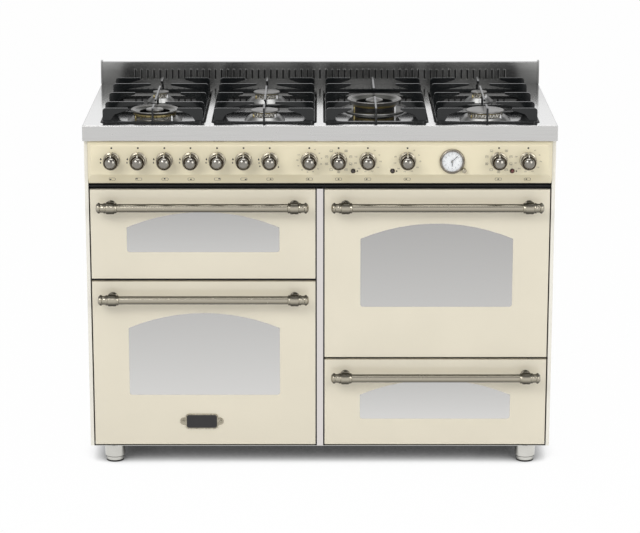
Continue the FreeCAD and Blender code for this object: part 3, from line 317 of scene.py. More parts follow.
class Shape:
    """Mesh parts that become one piece of the scene."""

    def __init__(self):
        self.mesh = bmesh.new()
        self.finishes = []

    def index(self, finish):
        if finish not in self.finishes:
            self.finishes.append(finish)
        return self.finishes.index(finish)

    def add(self, points, faces, finish, flat=False):
        corners = [self.mesh.verts.new(Vector(p) * MM) for p in points]
        for face in faces:
            made = self.mesh.faces.new([corners[i] for i in face])
            made.material_index = self.index(finish)
            made.smooth = not flat

    def turn(self, outline, spot, way, finish, segments=48, flutes=0, closed=True):
        """A turned outline, with a face over each end that stands clear of the axis."""
        faces = bands(len(outline), segments)
        last = (len(outline) - 1) * segments
        if closed and outline[0][0] > 0.01:
            faces.append(tuple(range(segments))[::-1])
        if closed and outline[-1][0] > 0.01:
            faces.append(tuple(range(last, last + segments)))
        self.add(turned(outline, spot, way, segments, flutes), faces, finish)

    def ring(self, outline, spot, way, finish, segments=64):
        """A closed outline turned about an axis, with a hole through its middle."""
        faces = bands(len(outline), segments, True)
        self.add(turned(outline, spot, way, segments), faces, finish)

    def wall(self, loops, finish):
        """A wall through a row of outlines."""
        self.add(sum(loops, []), bands(len(loops), len(loops[0])), finish)

    def loft(self, sections, finish):
        """Closed outlines joined one to the next, with a face on each end."""
        size = len(sections[0])
        last = (len(sections) - 1) * size
        ends = [tuple(range(size))[::-1], tuple(range(last, last + size))]
        self.add(sum(sections, []), bands(len(sections), size) + ends, finish)

    def slab(self, loops, low, high, lift, finish):
        """A plate between two levels, whose first loop is its outline and whose others are holes."""
        flat = sum(loops, [])
        caps = tessellate_polygon([[Vector(p).to_3d() for p in loop] for loop in loops])
        under, over = ([lift(u, v, level) for u, v in flat] for level in (low, high))
        self.add(under, [tuple(reversed(c)) for c in caps], finish, True)
        self.add(over, caps, finish, True)
        start = 0
        for loop in loops:
            end = start + len(loop)
            self.wall([under[start:end], over[start:end]], finish)
            start = end

    def block(self, low, high, finish):
        x, y, z = zip(low, high)
        points = [(x[i], y[j], z[k]) for i in (0, 1) for j in (0, 1) for k in (0, 1)]
        faces = [(0, 1, 3, 2), (4, 6, 7, 5), (0, 4, 5, 1), (2, 3, 7, 6), (0, 2, 6, 4), (1, 5, 7, 3)]
        self.add(points, faces, finish)

    def lettering(self, text, size, spot, finish):
        """Upright figures lying flat on a face that looks forward."""
        curve = bpy.data.curves.new("figures", "FONT")
        curve.body = text
        curve.size = size * MM
        curve.align_x = "CENTER"
        curve.align_y = "CENTER"
        curve.resolution_u = 2
        source = bpy.data.objects.new("figures", curve)
        data = bpy.data.meshes.new_from_object(source)
        bpy.data.objects.remove(source)
        for vertex in data.vertices:
            vertex.co = Vector(spot) * MM + Vector((vertex.co.x, 0, vertex.co.y))
        before = len(self.mesh.faces)
        self.mesh.from_mesh(data)
        bpy.data.meshes.remove(data)
        for face in list(self.mesh.faces)[before:]:
            face.material_index = self.index(finish)
            face.smooth = False

    def done(self, name, body, slot, replaces=(), bevel=0.0, limit=35):
        """The finished piece, with its parts joined and its edges rounded."""
        bmesh.ops.remove_doubles(self.mesh, verts=self.mesh.verts, dist=1e-6)
        bmesh.ops.recalc_face_normals(self.mesh, faces=self.mesh.faces)
        round_edges(self.mesh, bevel)
        finished(name, self.mesh, self.finishes, body, slot, replaces, limit)


def round_edges(mesh, width):
    """Edges bevelled where their faces meet at more than a slight angle."""
    if not width:
        return
    least = math.radians(30)
    sharp = [e for e in mesh.edges if len(e.link_faces) == 2 and e.calc_face_angle(0) > least]
    bmesh.ops.bevel(mesh, geom=sharp, offset=width * MM, segments=2, profile=0.5, affect="EDGES",
                    clamp_overlap=True)


def placed(name, data):
    thing = bpy.data.objects.new(name, data)
    bpy.context.scene.collection.objects.link(thing)
    return thing


def finished(name, mesh, finishes, body, slot, replaces, limit=35):
    """An object on its body, shaded smooth up to an angle, in place of the nodes that it shows."""
    mesh.normal_update()
    for edge in mesh.edges:
        edge.smooth = len(edge.link_faces) == 2 and edge.calc_face_angle(0) < math.radians(limit)
    data = bpy.data.meshes.new(name)
    mesh.to_mesh(data)
    mesh.free()
    for finish in finishes:
        data.materials.append(finish)
    thing = placed(name, data)
    even = thing.modifiers.new("even_normals", "WEIGHTED_NORMAL")
    even.keep_sharp = True
    even.weight = 80
    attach(thing, body)
    if replaces:
        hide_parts(*replaces)


def softened(node, width, finish=None):
    """A node's own shape with its edges rounded, standing for the node."""
    mesh = bmesh.new()
    mesh.from_mesh(frame["nodes"][node].data)
    bmesh.ops.remove_doubles(mesh, verts=mesh.verts, dist=1e-6)
    bmesh.ops.dissolve_limit(mesh, angle_limit=math.radians(2), verts=mesh.verts, edges=mesh.edges)
    round_edges(mesh, width)
    for face in mesh.faces:
        face.smooth = True
        face.material_index = 0
    slot = SLOT_OF[node]
    finished(node + "_soft", mesh, [finish or NODE_FINISH[slot]], BODY_OF[node], slot, [node])


def arc(cx, cy, radius, start, end, steps):
    """Points of an arc, with angles in degrees."""
    angles = [math.radians(start + (end - start) * i / steps) for i in range(steps + 1)]
    return [(cx + radius * math.cos(a), cy + radius * math.sin(a)) for a in angles]


def rounded_outline(low, high, radius, steps=6):
    (x0, y0), (x1, y1) = low, high
    r = radius
    return (arc(x0 + r, y0 + r, r, 180, 270, steps) + arc(x1 - r, y0 + r, r, 270, 360, steps)
            + arc(x1 - r, y1 - r, r, 0, 90, steps) + arc(x0 + r, y1 - r, r, 90, 180, steps))


def flat_up(x, y, z):
    return Vector((x, y, z))


def facing_front(x, z, forward):
    return Vector((x, -forward, z))


def sideways(y, z, x):
    return Vector((x, y, z))


# --- Places ---

FRONT = span("worktop")[0].y
FACE = span("door_right_panel")[0].y
TOP = span("worktop")[1].z
UNDER = span("worktop")[0].z
FLOOR = TOP - 10
BEND_Z, PANEL_FOOT_Z = TOP - 126, span("fascia")[0].z
SHEET = 1.2
GRATES = ("grate_one", "grate_two", "grate_three", "grate_four")
ZONES = [(span(name)[0] + span(name)[1]) / 2 for name in GRATES]
LAMPS = [(83.9, AMBER), (183.6, AMBER), (486.5, RED)]
LAMP_Z = (span("indicator_lamps")[0].z + span("indicator_lamps")[1].z) / 2

# --- Case ---

FOOT_RADIUS = 26.35
FOOT_PARTS = [
    ([(0, 0), (20.5, 0), (22.4, 0.8), (22.7, 2.2), (22.7, 4.2)], RUBBER),
    ([(22.0, 4.2), (22.6, 4.8), (22.6, 12.6), (22.2, 13)], FOOT_STEEL),
    # a black ring of painted shade in the gap under the sleeve
    ([(21.0, 12.6), (25.2, 13.6), (25.2, 14.4), (24, 15)], BLACK_TRIM),
    ([(24.0, 14.6), (25.8, 15.0), (26.3, 16.0), (26.3, 43.6), (25.8, 45), (22, 45)], FOOT_STEEL),
]
SCREW_HEAD = [(4.2, 0), (4.2, 0.8), (3.4, 1.8), (1.6, 2.3), (0, 2.4)]


def fascia_folded():
    """The panel strip, folded to a slope at its foot and mitred at its ends."""
    end, back, _ = span("fascia")[1]
    mitre = 9
    rear = [(FRONT + 10, UNDER), (back, UNDER), (back, PANEL_FOOT_Z)]
    profile = [(FACE, PANEL_FOOT_Z), (FRONT, BEND_Z), (FRONT, TOP - 52)] + rear
    mitred = [(FACE, PANEL_FOOT_Z), (FRONT + mitre, PANEL_FOOT_Z + 13), (FRONT + mitre, UNDER - 1.2)] + rear
    sections = ((-end, mitred), (mitre - end, profile), (end - mitre, profile), (end, mitred))
    panel = Shape()
    panel.loft([[(x, y, z) for y, z in outline] for x, outline in sections], CREAM_PANEL)
    panel.done("fascia_folded", "cabinet", "cream_enamel", ["fascia"], 0.6, 20)


def vent_bars():
    """A dark channel with a bar along its middle, grey as a painted highlight."""
    low, high = span("vent_trim")
    back, lip = low.y + 8, 1.5
    vent = Shape()
    vent.block((low.x, back, low.z), (high.x, back + 4, high.z), BLACK_TRIM)
    vent.block((low.x, back, high.z - lip), (high.x, high.y, high.z), BLACK_TRIM)
    vent.block((low.x, back, low.z), (high.x, high.y, low.z + lip), BLACK_TRIM)
    vent.block((low.x, low.y, low.z + 6.3), (high.x, back + 1, low.z + 7.7), VENT_BAR_PAINTED_HIGHLIGHT)
    vent.done("vent_bars", "cabinet", "vent_black", ["vent_trim"], 0.4)


def feet_round():
    """Four feet, each a sleeve over a stem on a rubber pad."""
    low, high = span("feet")
    feet = Shape()
    for x in (low.x + FOOT_RADIUS, high.x - FOOT_RADIUS):
        for y in (low.y + FOOT_RADIUS, high.y - FOOT_RADIUS):
            for outline, finish in FOOT_PARTS:
                feet.turn(outline, (x, y, 0), "+Z", finish)
    feet.done("feet_round", "cabinet", "case_steel", ["feet"])


def rear_screws():
    """Screw heads round the edge of the back."""
    low, high = span("rear_panel")
    back = span("side_panels")[1].y
    inner_x, inner_z = (-300, 0, 300), (300, 560)
    screws = Shape()
    for x in (low.x + 12, *inner_x, high.x - 12):
        for z in (low.z + 14, *inner_z, high.z - 14):
            if not (x in inner_x and z in inner_z):
                screws.turn(SCREW_HEAD, (x, back, z), "+Y", ZINC, 20)
    screws.done("rear_screws", "cabinet", "case_steel")


softened("side_panels", 0.5, CREAM_SIDE)
fascia_folded()
softened("base_pan", 0.4)
softened("centre_partition", 0.4)
for door in ("door_upper_left", "door_lower_left", "door_right"):
    softened(door + "_panel", 0.6)
    softened(door + "_frame", 0.4)
softened("drawer_front", 0.6)
vent_bars()
feet_round()
rear_screws()

# --- Worktop ---

WELL_HALF = (134, 237)
EDGE = 2.5
# how far in from a well's rim, and how far down
WELL_WALL = [(0, 0), (1.2, -0.25), (2.4, -1.1), (5.0, -6.0), (7.0, -9.0), (9.0, -9.8), (11.5, -10)]
# how far out over the rounded edge, and how far down
FOLD = [(0, 0), (1.0, -0.2), (1.9, -0.9), (2.4, -1.7), (2.5, -2.5), (2.5, UNDER - TOP + 1.2),
        (1.6, UNDER - TOP)]
# the return under the sheet: how thick it is, and how far it reaches in at the sides, front and back
RETURN_SHEET, RETURN_IN = 1.5, (25, 31, 34)


def well_outline(centre, by=0.0):
    """A well's rim, drawn in towards its centre by a distance."""
    half_x, half_y = WELL_HALF
    rim = rounded_outline((-half_x, -half_y), WELL_HALF, 20, 8)
    return [(centre.x + x * (1 - by / half_x), centre.y + y * (1 - by / half_y)) for x, y in rim]


def border(out):
    """The worktop's edge, a distance out from where its rounding starts."""
    low, high = span("worktop")
    by = EDGE - out
    return rounded_outline((low.x + by, low.y + by), (high.x - by, high.y - by), 1.0 + out * 0.6, 2)


def worktop_pressed():
    """A folded sheet with four pressed wells and a return along its underside."""
    low, high = span("worktop")
    worktop = Shape()
    loops = [border(0)] + [well_outline(centre) for centre in ZONES]
    caps = tessellate_polygon([[Vector((x, y, 0)) for x, y in loop] for loop in loops])
    worktop.add([(x, y, TOP) for loop in loops for x, y in loop], caps, TOP_STEEL, True)
    for centre in ZONES:
        worktop.wall([[(x, y, TOP + down) for x, y in well_outline(centre, by)] for by, down in WELL_WALL],
                     WELL_STEEL)
        sunk = well_outline(centre, WELL_WALL[-1][0])
        worktop.add([(x, y, FLOOR) for x, y in sunk], [tuple(range(len(sunk)))], WELL_STEEL, True)
    worktop.wall([[(x, y, TOP + down) for x, y in border(out)] for out, down in FOLD], FOLD_STEEL)
    inner, mouth = ([(low.x + side, low.y + front), (high.x - side, low.y + front),
                     (high.x - side, high.y - back), (low.x + side, high.y - back)]
                    for side, front, back in ((RETURN_SHEET,) * 3, RETURN_IN))
    worktop.slab([inner, mouth], UNDER, UNDER + RETURN_SHEET, flat_up, TOP_STEEL)
    worktop.done("worktop_pressed", "cabinet", "worktop_steel", ["worktop"])


worktop_pressed()

# --- Upstand ---

SLOT_COUNT, SLOT_PITCH, SLOT_WIDE = 61, 16.85, 4.6
SLOT_LOW, SLOT_HIGH, CELL_EDGE = TOP + 14, TOP + 41, 3


def slot_cell(shape, x, front):
    """The front sheet round one slot, with a raised lip about the slot's edge."""
    r = SLOT_WIDE / 2
    middle = (SLOT_LOW + SLOT_HIGH) / 2
    hole = arc(x, SLOT_HIGH - r, r, 0, 180, 10) + arc(x, SLOT_LOW + r, r, 180, 360, 10)
    lip = [(x + (u - x) * 1.35, v + (0.8 if v > middle else -0.8)) for u, v in hole]
    reach = [SLOT_PITCH / 2 * share for share in (1, 0.7, 0.45, 0.25, 0.1, 0)]
    over = [x + a for a in reach] + [x - a for a in reach[-2::-1]]
    rim = [(u, SLOT_HIGH + CELL_EDGE) for u in over] + [(u, SLOT_LOW - CELL_EDGE) for u in over[::-1]]
    for loops in (((rim, front), (lip, front)), ((lip, front), (hole, front - 0.6), (hole, front + SHEET))):
        shape.wall([[(u, y, v) for u, v in loop] for loop, y in loops], BACK_STEEL)


def upstand_slotted():
    """A folded steel back with a row of slots, between two end plates."""
    low, high = span("upstand")
    front, back, sheet_top = high.y - 15, high.y, high.z - 4.5
    left, right = low.x + 5, high.x - 5
    row_end = SLOT_COUNT * SLOT_PITCH / 2
    upstand = Shape()
    for i in range(SLOT_COUNT):
        slot_cell(upstand, (i - (SLOT_COUNT - 1) / 2) * SLOT_PITCH, front)
    for x0, x1, z0, z1 in ((left, -row_end, TOP, sheet_top), (row_end, right, TOP, sheet_top),
                           (-row_end, row_end, TOP, SLOT_LOW - CELL_EDGE),
                           (-row_end, row_end, SLOT_HIGH + CELL_EDGE, sheet_top)):
        upstand.block((x0, front, z0), (x1, front + SHEET, z1), BACK_STEEL)
    # painted shade: a black sheet behind the slots, for the shade inside them
    upstand.block((left, front + 5, TOP), (right, front + 5.6, sheet_top - 1), SLOT_SHADE)
    upstand.block((left, back - SHEET, TOP), (right, back, sheet_top), BACK_STEEL)
    upstand.block((left, front, sheet_top - SHEET), (right, back, sheet_top), BACK_STEEL)
    end_plate = rounded_outline((low.y, TOP), (high.y, high.z), 2.0, 4)
    upstand.slab([end_plate], low.x, left, sideways, BACK_STEEL)
    upstand.slab([end_plate], right, high.x, sideways, BACK_STEEL)
    upstand.done("upstand_slotted", "cabinet", "worktop_steel", ["upstand"], 0.25)


upstand_slotted()

# --- Pan supports ---

BLADE, ROD, TIP = 5, 8, 47
# distance of each row of fingers behind the front edge, and how far its tips stay from the middle
ROWS = [(44, 62), (130, 27), (259, 59), (388, 27), (474, 60)]
WOK_ROWS = [(44, 62), (130, 66), (259, 66), (388, 60), (474, 60)]
FINGER = [(95, 31), (101, 25), (108, 13), (116, 6), (127, 6), (127, 40), (126, 43.4), (123.4, 46), (120, TIP)]
SPINE = [(160, 42), (160, 46), (161, TIP), (357, TIP), (358, 46), (358, 42), (268, 38), (268, 6), (250, 6),
         (250, 38)]
PAD = [(3, 0), (4, 0.6), (4, 5.4), (3, 6)]


def prong(reach):
    """The blade that comes in from the front or the back, as far as a given reach."""
    return [(35, 6), (44, 6), (56, 28), (reach, 41), (reach, 46), (reach - 1, TIP), (41, TIP), (37, 45.6),
            (35, 42)]


def pan_support(name, x, wok):
    """A frame of square rod with upright fingers, all in one cast piece."""
    iron = Shape()
    low, high = span(name)
    rod_low, rod_high = FLOOR + 6, FLOOR + 14

    def blade(outline, middle, lift):
        iron.slab([outline], middle - BLADE / 2, middle + BLADE / 2, lift, IRON)

    iron.slab([rounded_outline((low.x, low.y), (high.x, high.y), 12),
               rounded_outline((low.x + ROD, low.y + ROD), (high.x - ROD, high.y - ROD), 6)],
              rod_low, rod_high, flat_up, IRON)
    for y, tip in WOK_ROWS if wok else ROWS:
        for side in (-1, 1):
            outline = FINGER + [(tip + 1, TIP), (tip, 46), (tip, 42)]
            blade([(x + side * u, FLOOR + v) for u, v in outline], -FRONT - y, facing_front)
    for sign, edge in ((1, FRONT), (-1, FRONT + 526)):
        blade([(edge + sign * y, FLOOR + z) for y, z in prong(206 if wok else 100)], x, sideways)
    if not wok:
        blade([(FRONT + y, FLOOR + z) for y, z in SPINE], x, sideways)
        iron.block((x - 124, FRONT + 256.5, rod_low), (x + 124, FRONT + 261.5, rod_high), IRON)
    for dx in (-124, 124):
        for y in (54, 472):
            iron.turn(PAD, (x + dx, FRONT + y, FLOOR), "+Z", RUBBER, 16)
    iron.done(name + "_cast", name, "support_iron", [name], 1.0)


for name, zone in zip(GRATES, ZONES):
    pan_support(name, zone.x, name == "grate_three")

# --- Burners ---

ROW_FRONT, ROW_MIDDLE, ROW_BACK = FRONT + 130, FRONT + 259, FRONT + 388
FLUTE_WIDE = 9.0
PORT_GAPS = 24
IGNITER = [(2.4, 0), (2.4, 15), (1.7, 16), (1.0, 19.4), (0, 20)]


def fluted(shape, radius, low, high, depth, spot):
    """An upright wall with flutes between two plain edges."""
    flutes = round(2 * math.pi * radius / FLUTE_WIDE)
    outline = [(radius - 1, low), (radius, low + 0.6, 0), (radius, low + 1.6, depth),
               (radius - 0.6, high - 1.6, depth), (radius - 0.6, high - 0.5, 0), (radius - 2, high)]
    shape.turn(outline, spot, "+Z", ALLOY, flutes * 10, flutes)


def plain_burner(crown, lid, r, spot):
    """A flared skirt, a fluted crown, a ring of ports and a flat lid."""
    crown.turn([(r + 16.4, 0), (r + 17, 0.7), (r + 16.2, 1.8), (r + 6.4, 10.8), (r + 4.8, 11.8),
                (r + 2.8, 12.2), (r - 5, 12.2)], spot, "+Z", SKIRT, 96)
    fluted(crown, r - 3.4, 12, 21.4, 2.2, spot)
    crown.turn([(r - 6, 21.0), (r - 3.4, 21.4), (r - 3.4, 23.0), (r - 6, 23.2)], spot, "+Z", PORTS, 96)
    lid.turn([(r - 1.4, 22.9), (r - 0.3, 23.5), (r, 24.4), (r, 25.2), (r - 0.7, 26.2), (r - 2.6, 26.8),
              (r * 0.6, 27.6), (r * 0.3, 27.9), (0, 28)], spot, "+Z", LID, 96)


def dish(lid, r, rim, spot):
    """The sloping ring round a ring or wok burner, with painted shade on its inner side, and the lid in its
    middle.
    """
    lid.ring([(r - 10, 20), (r - 1.2, rim - 3.2), (r, rim - 2.2), (r, rim - 1), (r - 0.8, rim - 0.2),
              (r - 2.2, rim), (r - 4, rim - 0.4), (r - 9, rim - 2.4), (r - 11, 20.4)], spot, "+Z", LID, 120)
    lid.ring([(r - 11, 20.2), (r - 8.8, rim - 2.5), (r - 14, rim - 4.6), (r - 22, 22.6), (r - 22, 20.2)],
             spot, "+Z", DISH_PAINTED_SHADE, 120)
    top = rim + 1.5
    lid.turn([(20.5, 24.1), (22, 24.7), (22.5, 25.6), (22.5, 27.6), (21.6, 29), (19, 29.9), (8, top - 0.3),
              (0, top)], spot, "+Z", LID, 72)


def centre_jet(crown, spot):
    fluted(crown, 18, 8, 22.6, 1.6, spot)
    crown.turn([(15, 22.2), (18.4, 22.6), (18.4, 23.8), (15, 24)], spot, "+Z", PORTS, 72)


def bowl(crown, rim, low, high, spot):
    """The hollow between a burner's outer wall and its centre, black as painted shade."""
    wall = [(rim, high), (rim - 1, low + 1), (rim - 3, low), (0, low)]
    crown.turn(wall, spot, "+Z", PAINTED_SHADE_BLACK, 96, closed=False)


def port_gaps(crown, radius, spot):
    """Small black pins of painted shade in the gaps between the ports of a ring."""
    for i in range(PORT_GAPS):
        angle = 2 * math.pi * (i + 0.5) / PORT_GAPS
        x, y = spot[0] + math.cos(angle) * radius, spot[1] + math.sin(angle) * radius
        crown.turn([(0.9, 0), (0.9, 4), (0, 4.2)], (x, y, spot[2] + 15.6), "+Z", PAINTED_SHADE_BLACK, 8)


def ring_burner(crown, lid, r, spot):
    """A low skirt and an open wall that holds up a ring of ports, round a centre jet."""
    crown.turn([(r + 8.4, 0), (r + 9, 0.7), (r + 8.2, 1.8), (r - 1.4, 7.4), (r - 3, 8), (r - 8, 8.2)],
               spot, "+Z", SKIRT, 120)
    crown.turn([(r - 8, 8), (r - 7, 8.6), (r - 7, 15)], spot, "+Z", ALLOY, 120, closed=False)
    bowl(crown, r - 9, 9, 19, spot)
    crown.ring([(r - 9, 15), (r - 6.6, 15), (r - 6.2, 17), (r - 6.6, 20.4), (r - 9, 20.4)],
               spot, "+Z", PORTS, 120)
    port_gaps(crown, r - 6.4, spot)
    centre_jet(crown, spot)
    dish(lid, r, 29, spot)


def wok_burner(crown, lid, r, spot):
    """A wide base plate, a black neck of painted shade and a tall sloping ring round a centre jet."""
    crown.turn([(r + 9.6, 0), (r + 10, 0.6), (r + 10, 2.4), (r + 9.2, 3.2), (r - 3, 4.6), (r - 5, 4.2)],
               spot, "+Z", SKIRT, 140)
    crown.turn([(r - 16.6, 4), (r - 16, 5), (r - 15.2, 13.6)], spot, "+Z", PAINTED_SHADE_BLACK, 120, closed=False)
    bowl(crown, r - 17, 6, 19, spot)
    crown.ring([(r - 17, 13.4), (r - 15, 13.8), (r - 12.6, 17.4), (r - 11, 19.8), (r - 13, 20.2)],
               spot, "+Z", PORTS, 120)
    crown.turn([(r - 12, 19.4), (r - 10.4, 19.8), (r - 1.6, 28.4)], spot, "+Z", ALLOY, 120, closed=False)
    centre_jet(crown, spot)
    dish(lid, r, 32, spot)


# zone, row, lid radius, form
BURNERS = [
    (0, ROW_FRONT, 61, ring_burner), (0, ROW_BACK, 21, plain_burner), (1, ROW_BACK, 35, plain_burner),
    (1, ROW_FRONT, 35, plain_burner), (2, ROW_MIDDLE, 70.5, wok_burner), (3, ROW_FRONT, 48.5, plain_burner),
    (3, ROW_BACK, 21, plain_burner),
]
for number, (zone, y, radius, form) in enumerate(BURNERS, 1):
    x = ZONES[zone].x
    crown, lid = Shape(), Shape()
    form(crown, lid, radius, (x, y, FLOOR))
    beside = (radius + 4) * 0.71
    crown.turn(IGNITER, (x - beside, y - beside, FLOOR), "+Z", PORTS, 16)
    crown.turn(IGNITER, (x + beside, y - beside, FLOOR), "+Z", DIAL, 16)
    crown.done(f"burner_{number}_crown", "cabinet", "burner_alloy", ["burner_bodies"] if number == 1 else ())
    lid.done(f"burner_{number}_lid", "cabinet", "burner_enamel", ["burner_caps"] if number == 1 else ())

# --- Knobs ---

# the neck and ring side dark and the ring's front band a mid tone, patina and painted shade
KNOB_PARTS = [
    ([(0, 0.8), (20.8, 0.8), (21.7, 1.5), (21.8, 2.6), (21.0, 3.4), (18.8, 3.9), (17.4, 4.6)], PEWTER),
    ([(17.4, 4.6), (15.2, 6), (14.3, 9), (14.1, 15), (14.9, 17.6), (16.8, 20.4), (18.7, 22.6), (19.4, 24.6),
      (19.5, 26), (19.5, 31.4), (19.1, 33), (18.3, 33.9), (17.6, 34.1)], PATINA_AND_PAINTED_SHADE),
    ([(17.6, 34.1), (16.8, 33.4), (15.8, 32.2), (15.0, 31.6), (14.3, 31.4)], PATINA_MID_AND_PAINTED_SHADE),
    ([(14.3, 31.4), (14.2, 33), (14.2, 38), (13.7, 40.6), (12.4, 43.3), (9.8, 45.7), (5.4, 47.4),
      (2.4, 47.9), (0, 48.0)], CAP_METAL),
]
# distance out from the panel and height over the axis of the pointer's outline
KNOB_POINTER = [(3.6, 12), (3.6, 20.2), (5, 21.6), (8, 22.4), (16, 22.3), (25, 21.4), (33, 19.2), (36, 17.4),
                (36.4, 15.6), (36.4, 12)]
KNOBS = [f"knob_{i:02d}" for i in range(1, 14)]


def knob_turned(name):
    """A turned knob with a fin on top that points to the mark, the fin lighter as a painted highlight."""
    centre = pivot(name + "_turn")
    knob = Shape()
    for outline, finish in KNOB_PARTS:
        knob.turn(outline, centre, "-Y", finish, 64)
    knob.slab([KNOB_POINTER], centre.x - 1.7, centre.x + 1.7,
              lambda out, up, x: Vector((x, centre.y - out, centre.z + up)), POINTER_PAINTED_HIGHLIGHT)
    knob.done(name + "_turned", name, "antique_brass", [name], 0.5, 40)


for name in KNOBS:
    knob_turned(name)

# --- Handles ---

BAR_OUT, POST_SIDE, COLLAR_RADIUS = 32, 233.5, 15.7
# distance from the middle and radius, for one half of the bar
HANDLE_SIDE = [(216, 10.5), (217.5, 12.6), (219.5, 13.4), (221.5, 12.8), (222.5, 13.8), (224.5, 15.4),
               (229, COLLAR_RADIUS), (233.5, 15.2), (238, COLLAR_RADIUS), (242.5, 15.4), (244.5, 13.8),
               (245.5, 12.6), (247, 13.4), (249, 13.4), (250.5, 12.2), (252, 11.4), (257.5, 11.2),
               (259, 11.8), (260.5, 13.6), (262.5, 14.0), (264.5, 13.4), (265.3, 12.2), (266.6, 11.2),
               (268.8, 8.6), (270.1, 4.6), (270.5, 0)]
HANDLE_POST = [(13.2, 0.2), (13.4, 1.6), (12.8, 3.4), (11.2, 4.4), (10.8, 5.6), (10.2, 7.2), (8.4, 8.8),
               (7.8, 12), (7.8, 26)]


def bar_handle(name):
    """A turned bar with collars and end knobs, on two posts."""
    low, high = span(name + "_handle")
    centre = (low + high) / 2
    # the bar's tone across its height is painted highlight and shade
    metal = rubbed_bar(name + "_antique", centre.z * MM, COLLAR_RADIUS * MM)
    handle = Shape()
    bar = [(r, -along) for along, r in HANDLE_SIDE[::-1]] + [(r, along) for along, r in HANDLE_SIDE]
    handle.turn(bar, (centre.x, high.y - BAR_OUT, centre.z), "+X", metal, 40)
    for x in (centre.x - POST_SIDE, centre.x + POST_SIDE):
        handle.turn(HANDLE_POST, (x, FACE, centre.z), "-Y", metal, 40)
    handle.done(name + "_bar", BODY_OF[name + "_handle"], "antique_brass", [name + "_handle"], 0, 28)


for name in ("door_upper_left", "door_lower_left", "door_right", "drawer"):
    bar_handle(name)

# --- Windows ---

WINDOW_HALF, WINDOW_RISE, WINDOW_CORNER = 195, 40, 7
# how far the sill lies over the front's lower edge, and how far up the arch starts
TALL_WINDOW, LOW_WINDOW = (135, 180), (70, 65)


def window_outline(x, sill, shoulder):
    """An arched opening with small round corners, seen from the front."""
    left, right, corner = x - WINDOW_HALF, x + WINDOW_HALF, WINDOW_CORNER
    radius = (WINDOW_HALF ** 2 + WINDOW_RISE ** 2) / (2 * WINDOW_RISE)
    half_angle = math.degrees(math.asin(WINDOW_HALF / radius)) - 0.6
    top = arc(x, sill + shoulder + WINDOW_RISE - radius, radius, 90 - half_angle, 90 + half_angle, 28)
    return (arc(left + corner, sill + corner, corner, 180, 270, 5)
            + arc(right - corner, sill + corner, corner, 270, 360, 5)
            + [(right, sill + shoulder - 3)] + top + [(left, sill + shoulder - 3)])


def window_pane(name, panel, heights, tone):
    """A silvered pane that fills the front's window, with a clear inner pane behind it in a door."""
    low, high = span(panel)
    sill, shoulder = low.z + heights[0], heights[1]
    silver = reflective_window(name + "_silvered", (tone, tone * 0.99, tone * 0.97), sill * MM,
                               (sill + shoulder + WINDOW_RISE) * MM)
    pane = Shape()
    outline = window_outline((low.x + high.x) / 2, sill, shoulder)
    pane.slab([outline], -FACE - 1.6, -FACE - 0.25, facing_front, silver)
    low, high = span(name + "_glazing")
    sheet = [(low.x, low.z), (high.x, low.z), (high.x, high.z), (low.x, high.z)]
    pane.slab([sheet], -FACE - 5.5, -FACE - 1.6, facing_front, silver)
    if name != "drawer":
        pane.slab([sheet], -high.y, -high.y + 4, facing_front, CLEAR)
    pane.done(name + "_pane", BODY_OF[panel], "window_glass", [name + "_glazing"])


# each window's tone is its own level of painted reflection
window_pane("door_upper_left", "door_upper_left_panel", LOW_WINDOW, 0.54)
window_pane("door_lower_left", "door_lower_left_panel", TALL_WINDOW, 0.61)
window_pane("door_right", "door_right_panel", TALL_WINDOW, 0.51)
window_pane("drawer", "drawer_front", LOW_WINDOW, 0.62)

# --- Clock and lamps ---

CLOCK = pivot("minute_hand_turn")
HOUR_OUT, NUMERAL_OUT = 25.2, 18.6


def clock_housing():
    """A case with a rounded bezel round a white dial."""
    case = Shape()
    case.turn([(0, -36), (28, -36), (28, 0.1), (31.2, 0.1), (32, 0.8), (32, 2.6), (31.4, 4.8), (30.2, 6.2),
               (28.8, 6.8)], CLOCK, "-Y", BEZEL, 96, closed=False)
    case.turn([(28.9, 6.8), (27.4, 6.7), (26.2, 6.0), (25.7, 5.0), (25.8, 4.6), (26.5, 4.4), (26.5, 1.0)],
              CLOCK, "-Y", PATINA_MID_AND_PAINTED_SHADE, 96, closed=False)
    case.turn([(26.5, 1.0), (26.4, 1.02), (0, 1.04)], CLOCK, "-Y", DIAL, 96)
    case.turn([(1.5, 1.0), (1.5, 4.2), (0, 4.4)], CLOCK, "-Y", PEWTER, 24)
    case.done("clock_housing", "cabinet", "antique_brass", ["clock_case"], 0, 30)


def clock_numerals():
    """A stroke and a figure for each hour, with longer strokes at the quarters."""
    dial = Shape()
    for hour in range(12):
        angle = math.radians(90 - 30 * hour)
        out = Vector((math.cos(angle), 0, math.sin(angle)))
        side = Vector((-out.z, 0, out.x)) * 0.35
        front = CLOCK + Vector((0, -1.15, 0))
        outer = front + out * HOUR_OUT
        near = front + out * (HOUR_OUT - (3.4 if hour % 3 == 0 else 2.2))
        dial.add([outer - side, outer + side, near + side, near - side], [(0, 1, 2, 3)], INK, True)
        dial.lettering(str(hour or 12), 5.2, front + out * NUMERAL_OUT, INK)
    dial.done("clock_numerals", "cabinet", "hand_black")


def clock_setter():
    """The knurled button at the clock's lower right."""
    setter = pivot("clock_setter_turn")
    knurl = Shape()
    knurl.turn([(0, 1), (5.2, 1), (5.9, 1.8), (6.0, 2.4), (6.0, 8.4), (5.6, 9.6), (4.2, 10.6), (0, 11)],
               setter, "-Y", PEWTER, 120)
    knurl.turn([(6.0, 2.6), (6.3, 3.0, 0.4), (6.3, 7.8, 0.4), (6.0, 8.2)], setter, "-Y", PEWTER, 120, 20)
    knurl.done("clock_setter_knurled", "clock_setter", "antique_brass", ["clock_setter"], 0, 30)


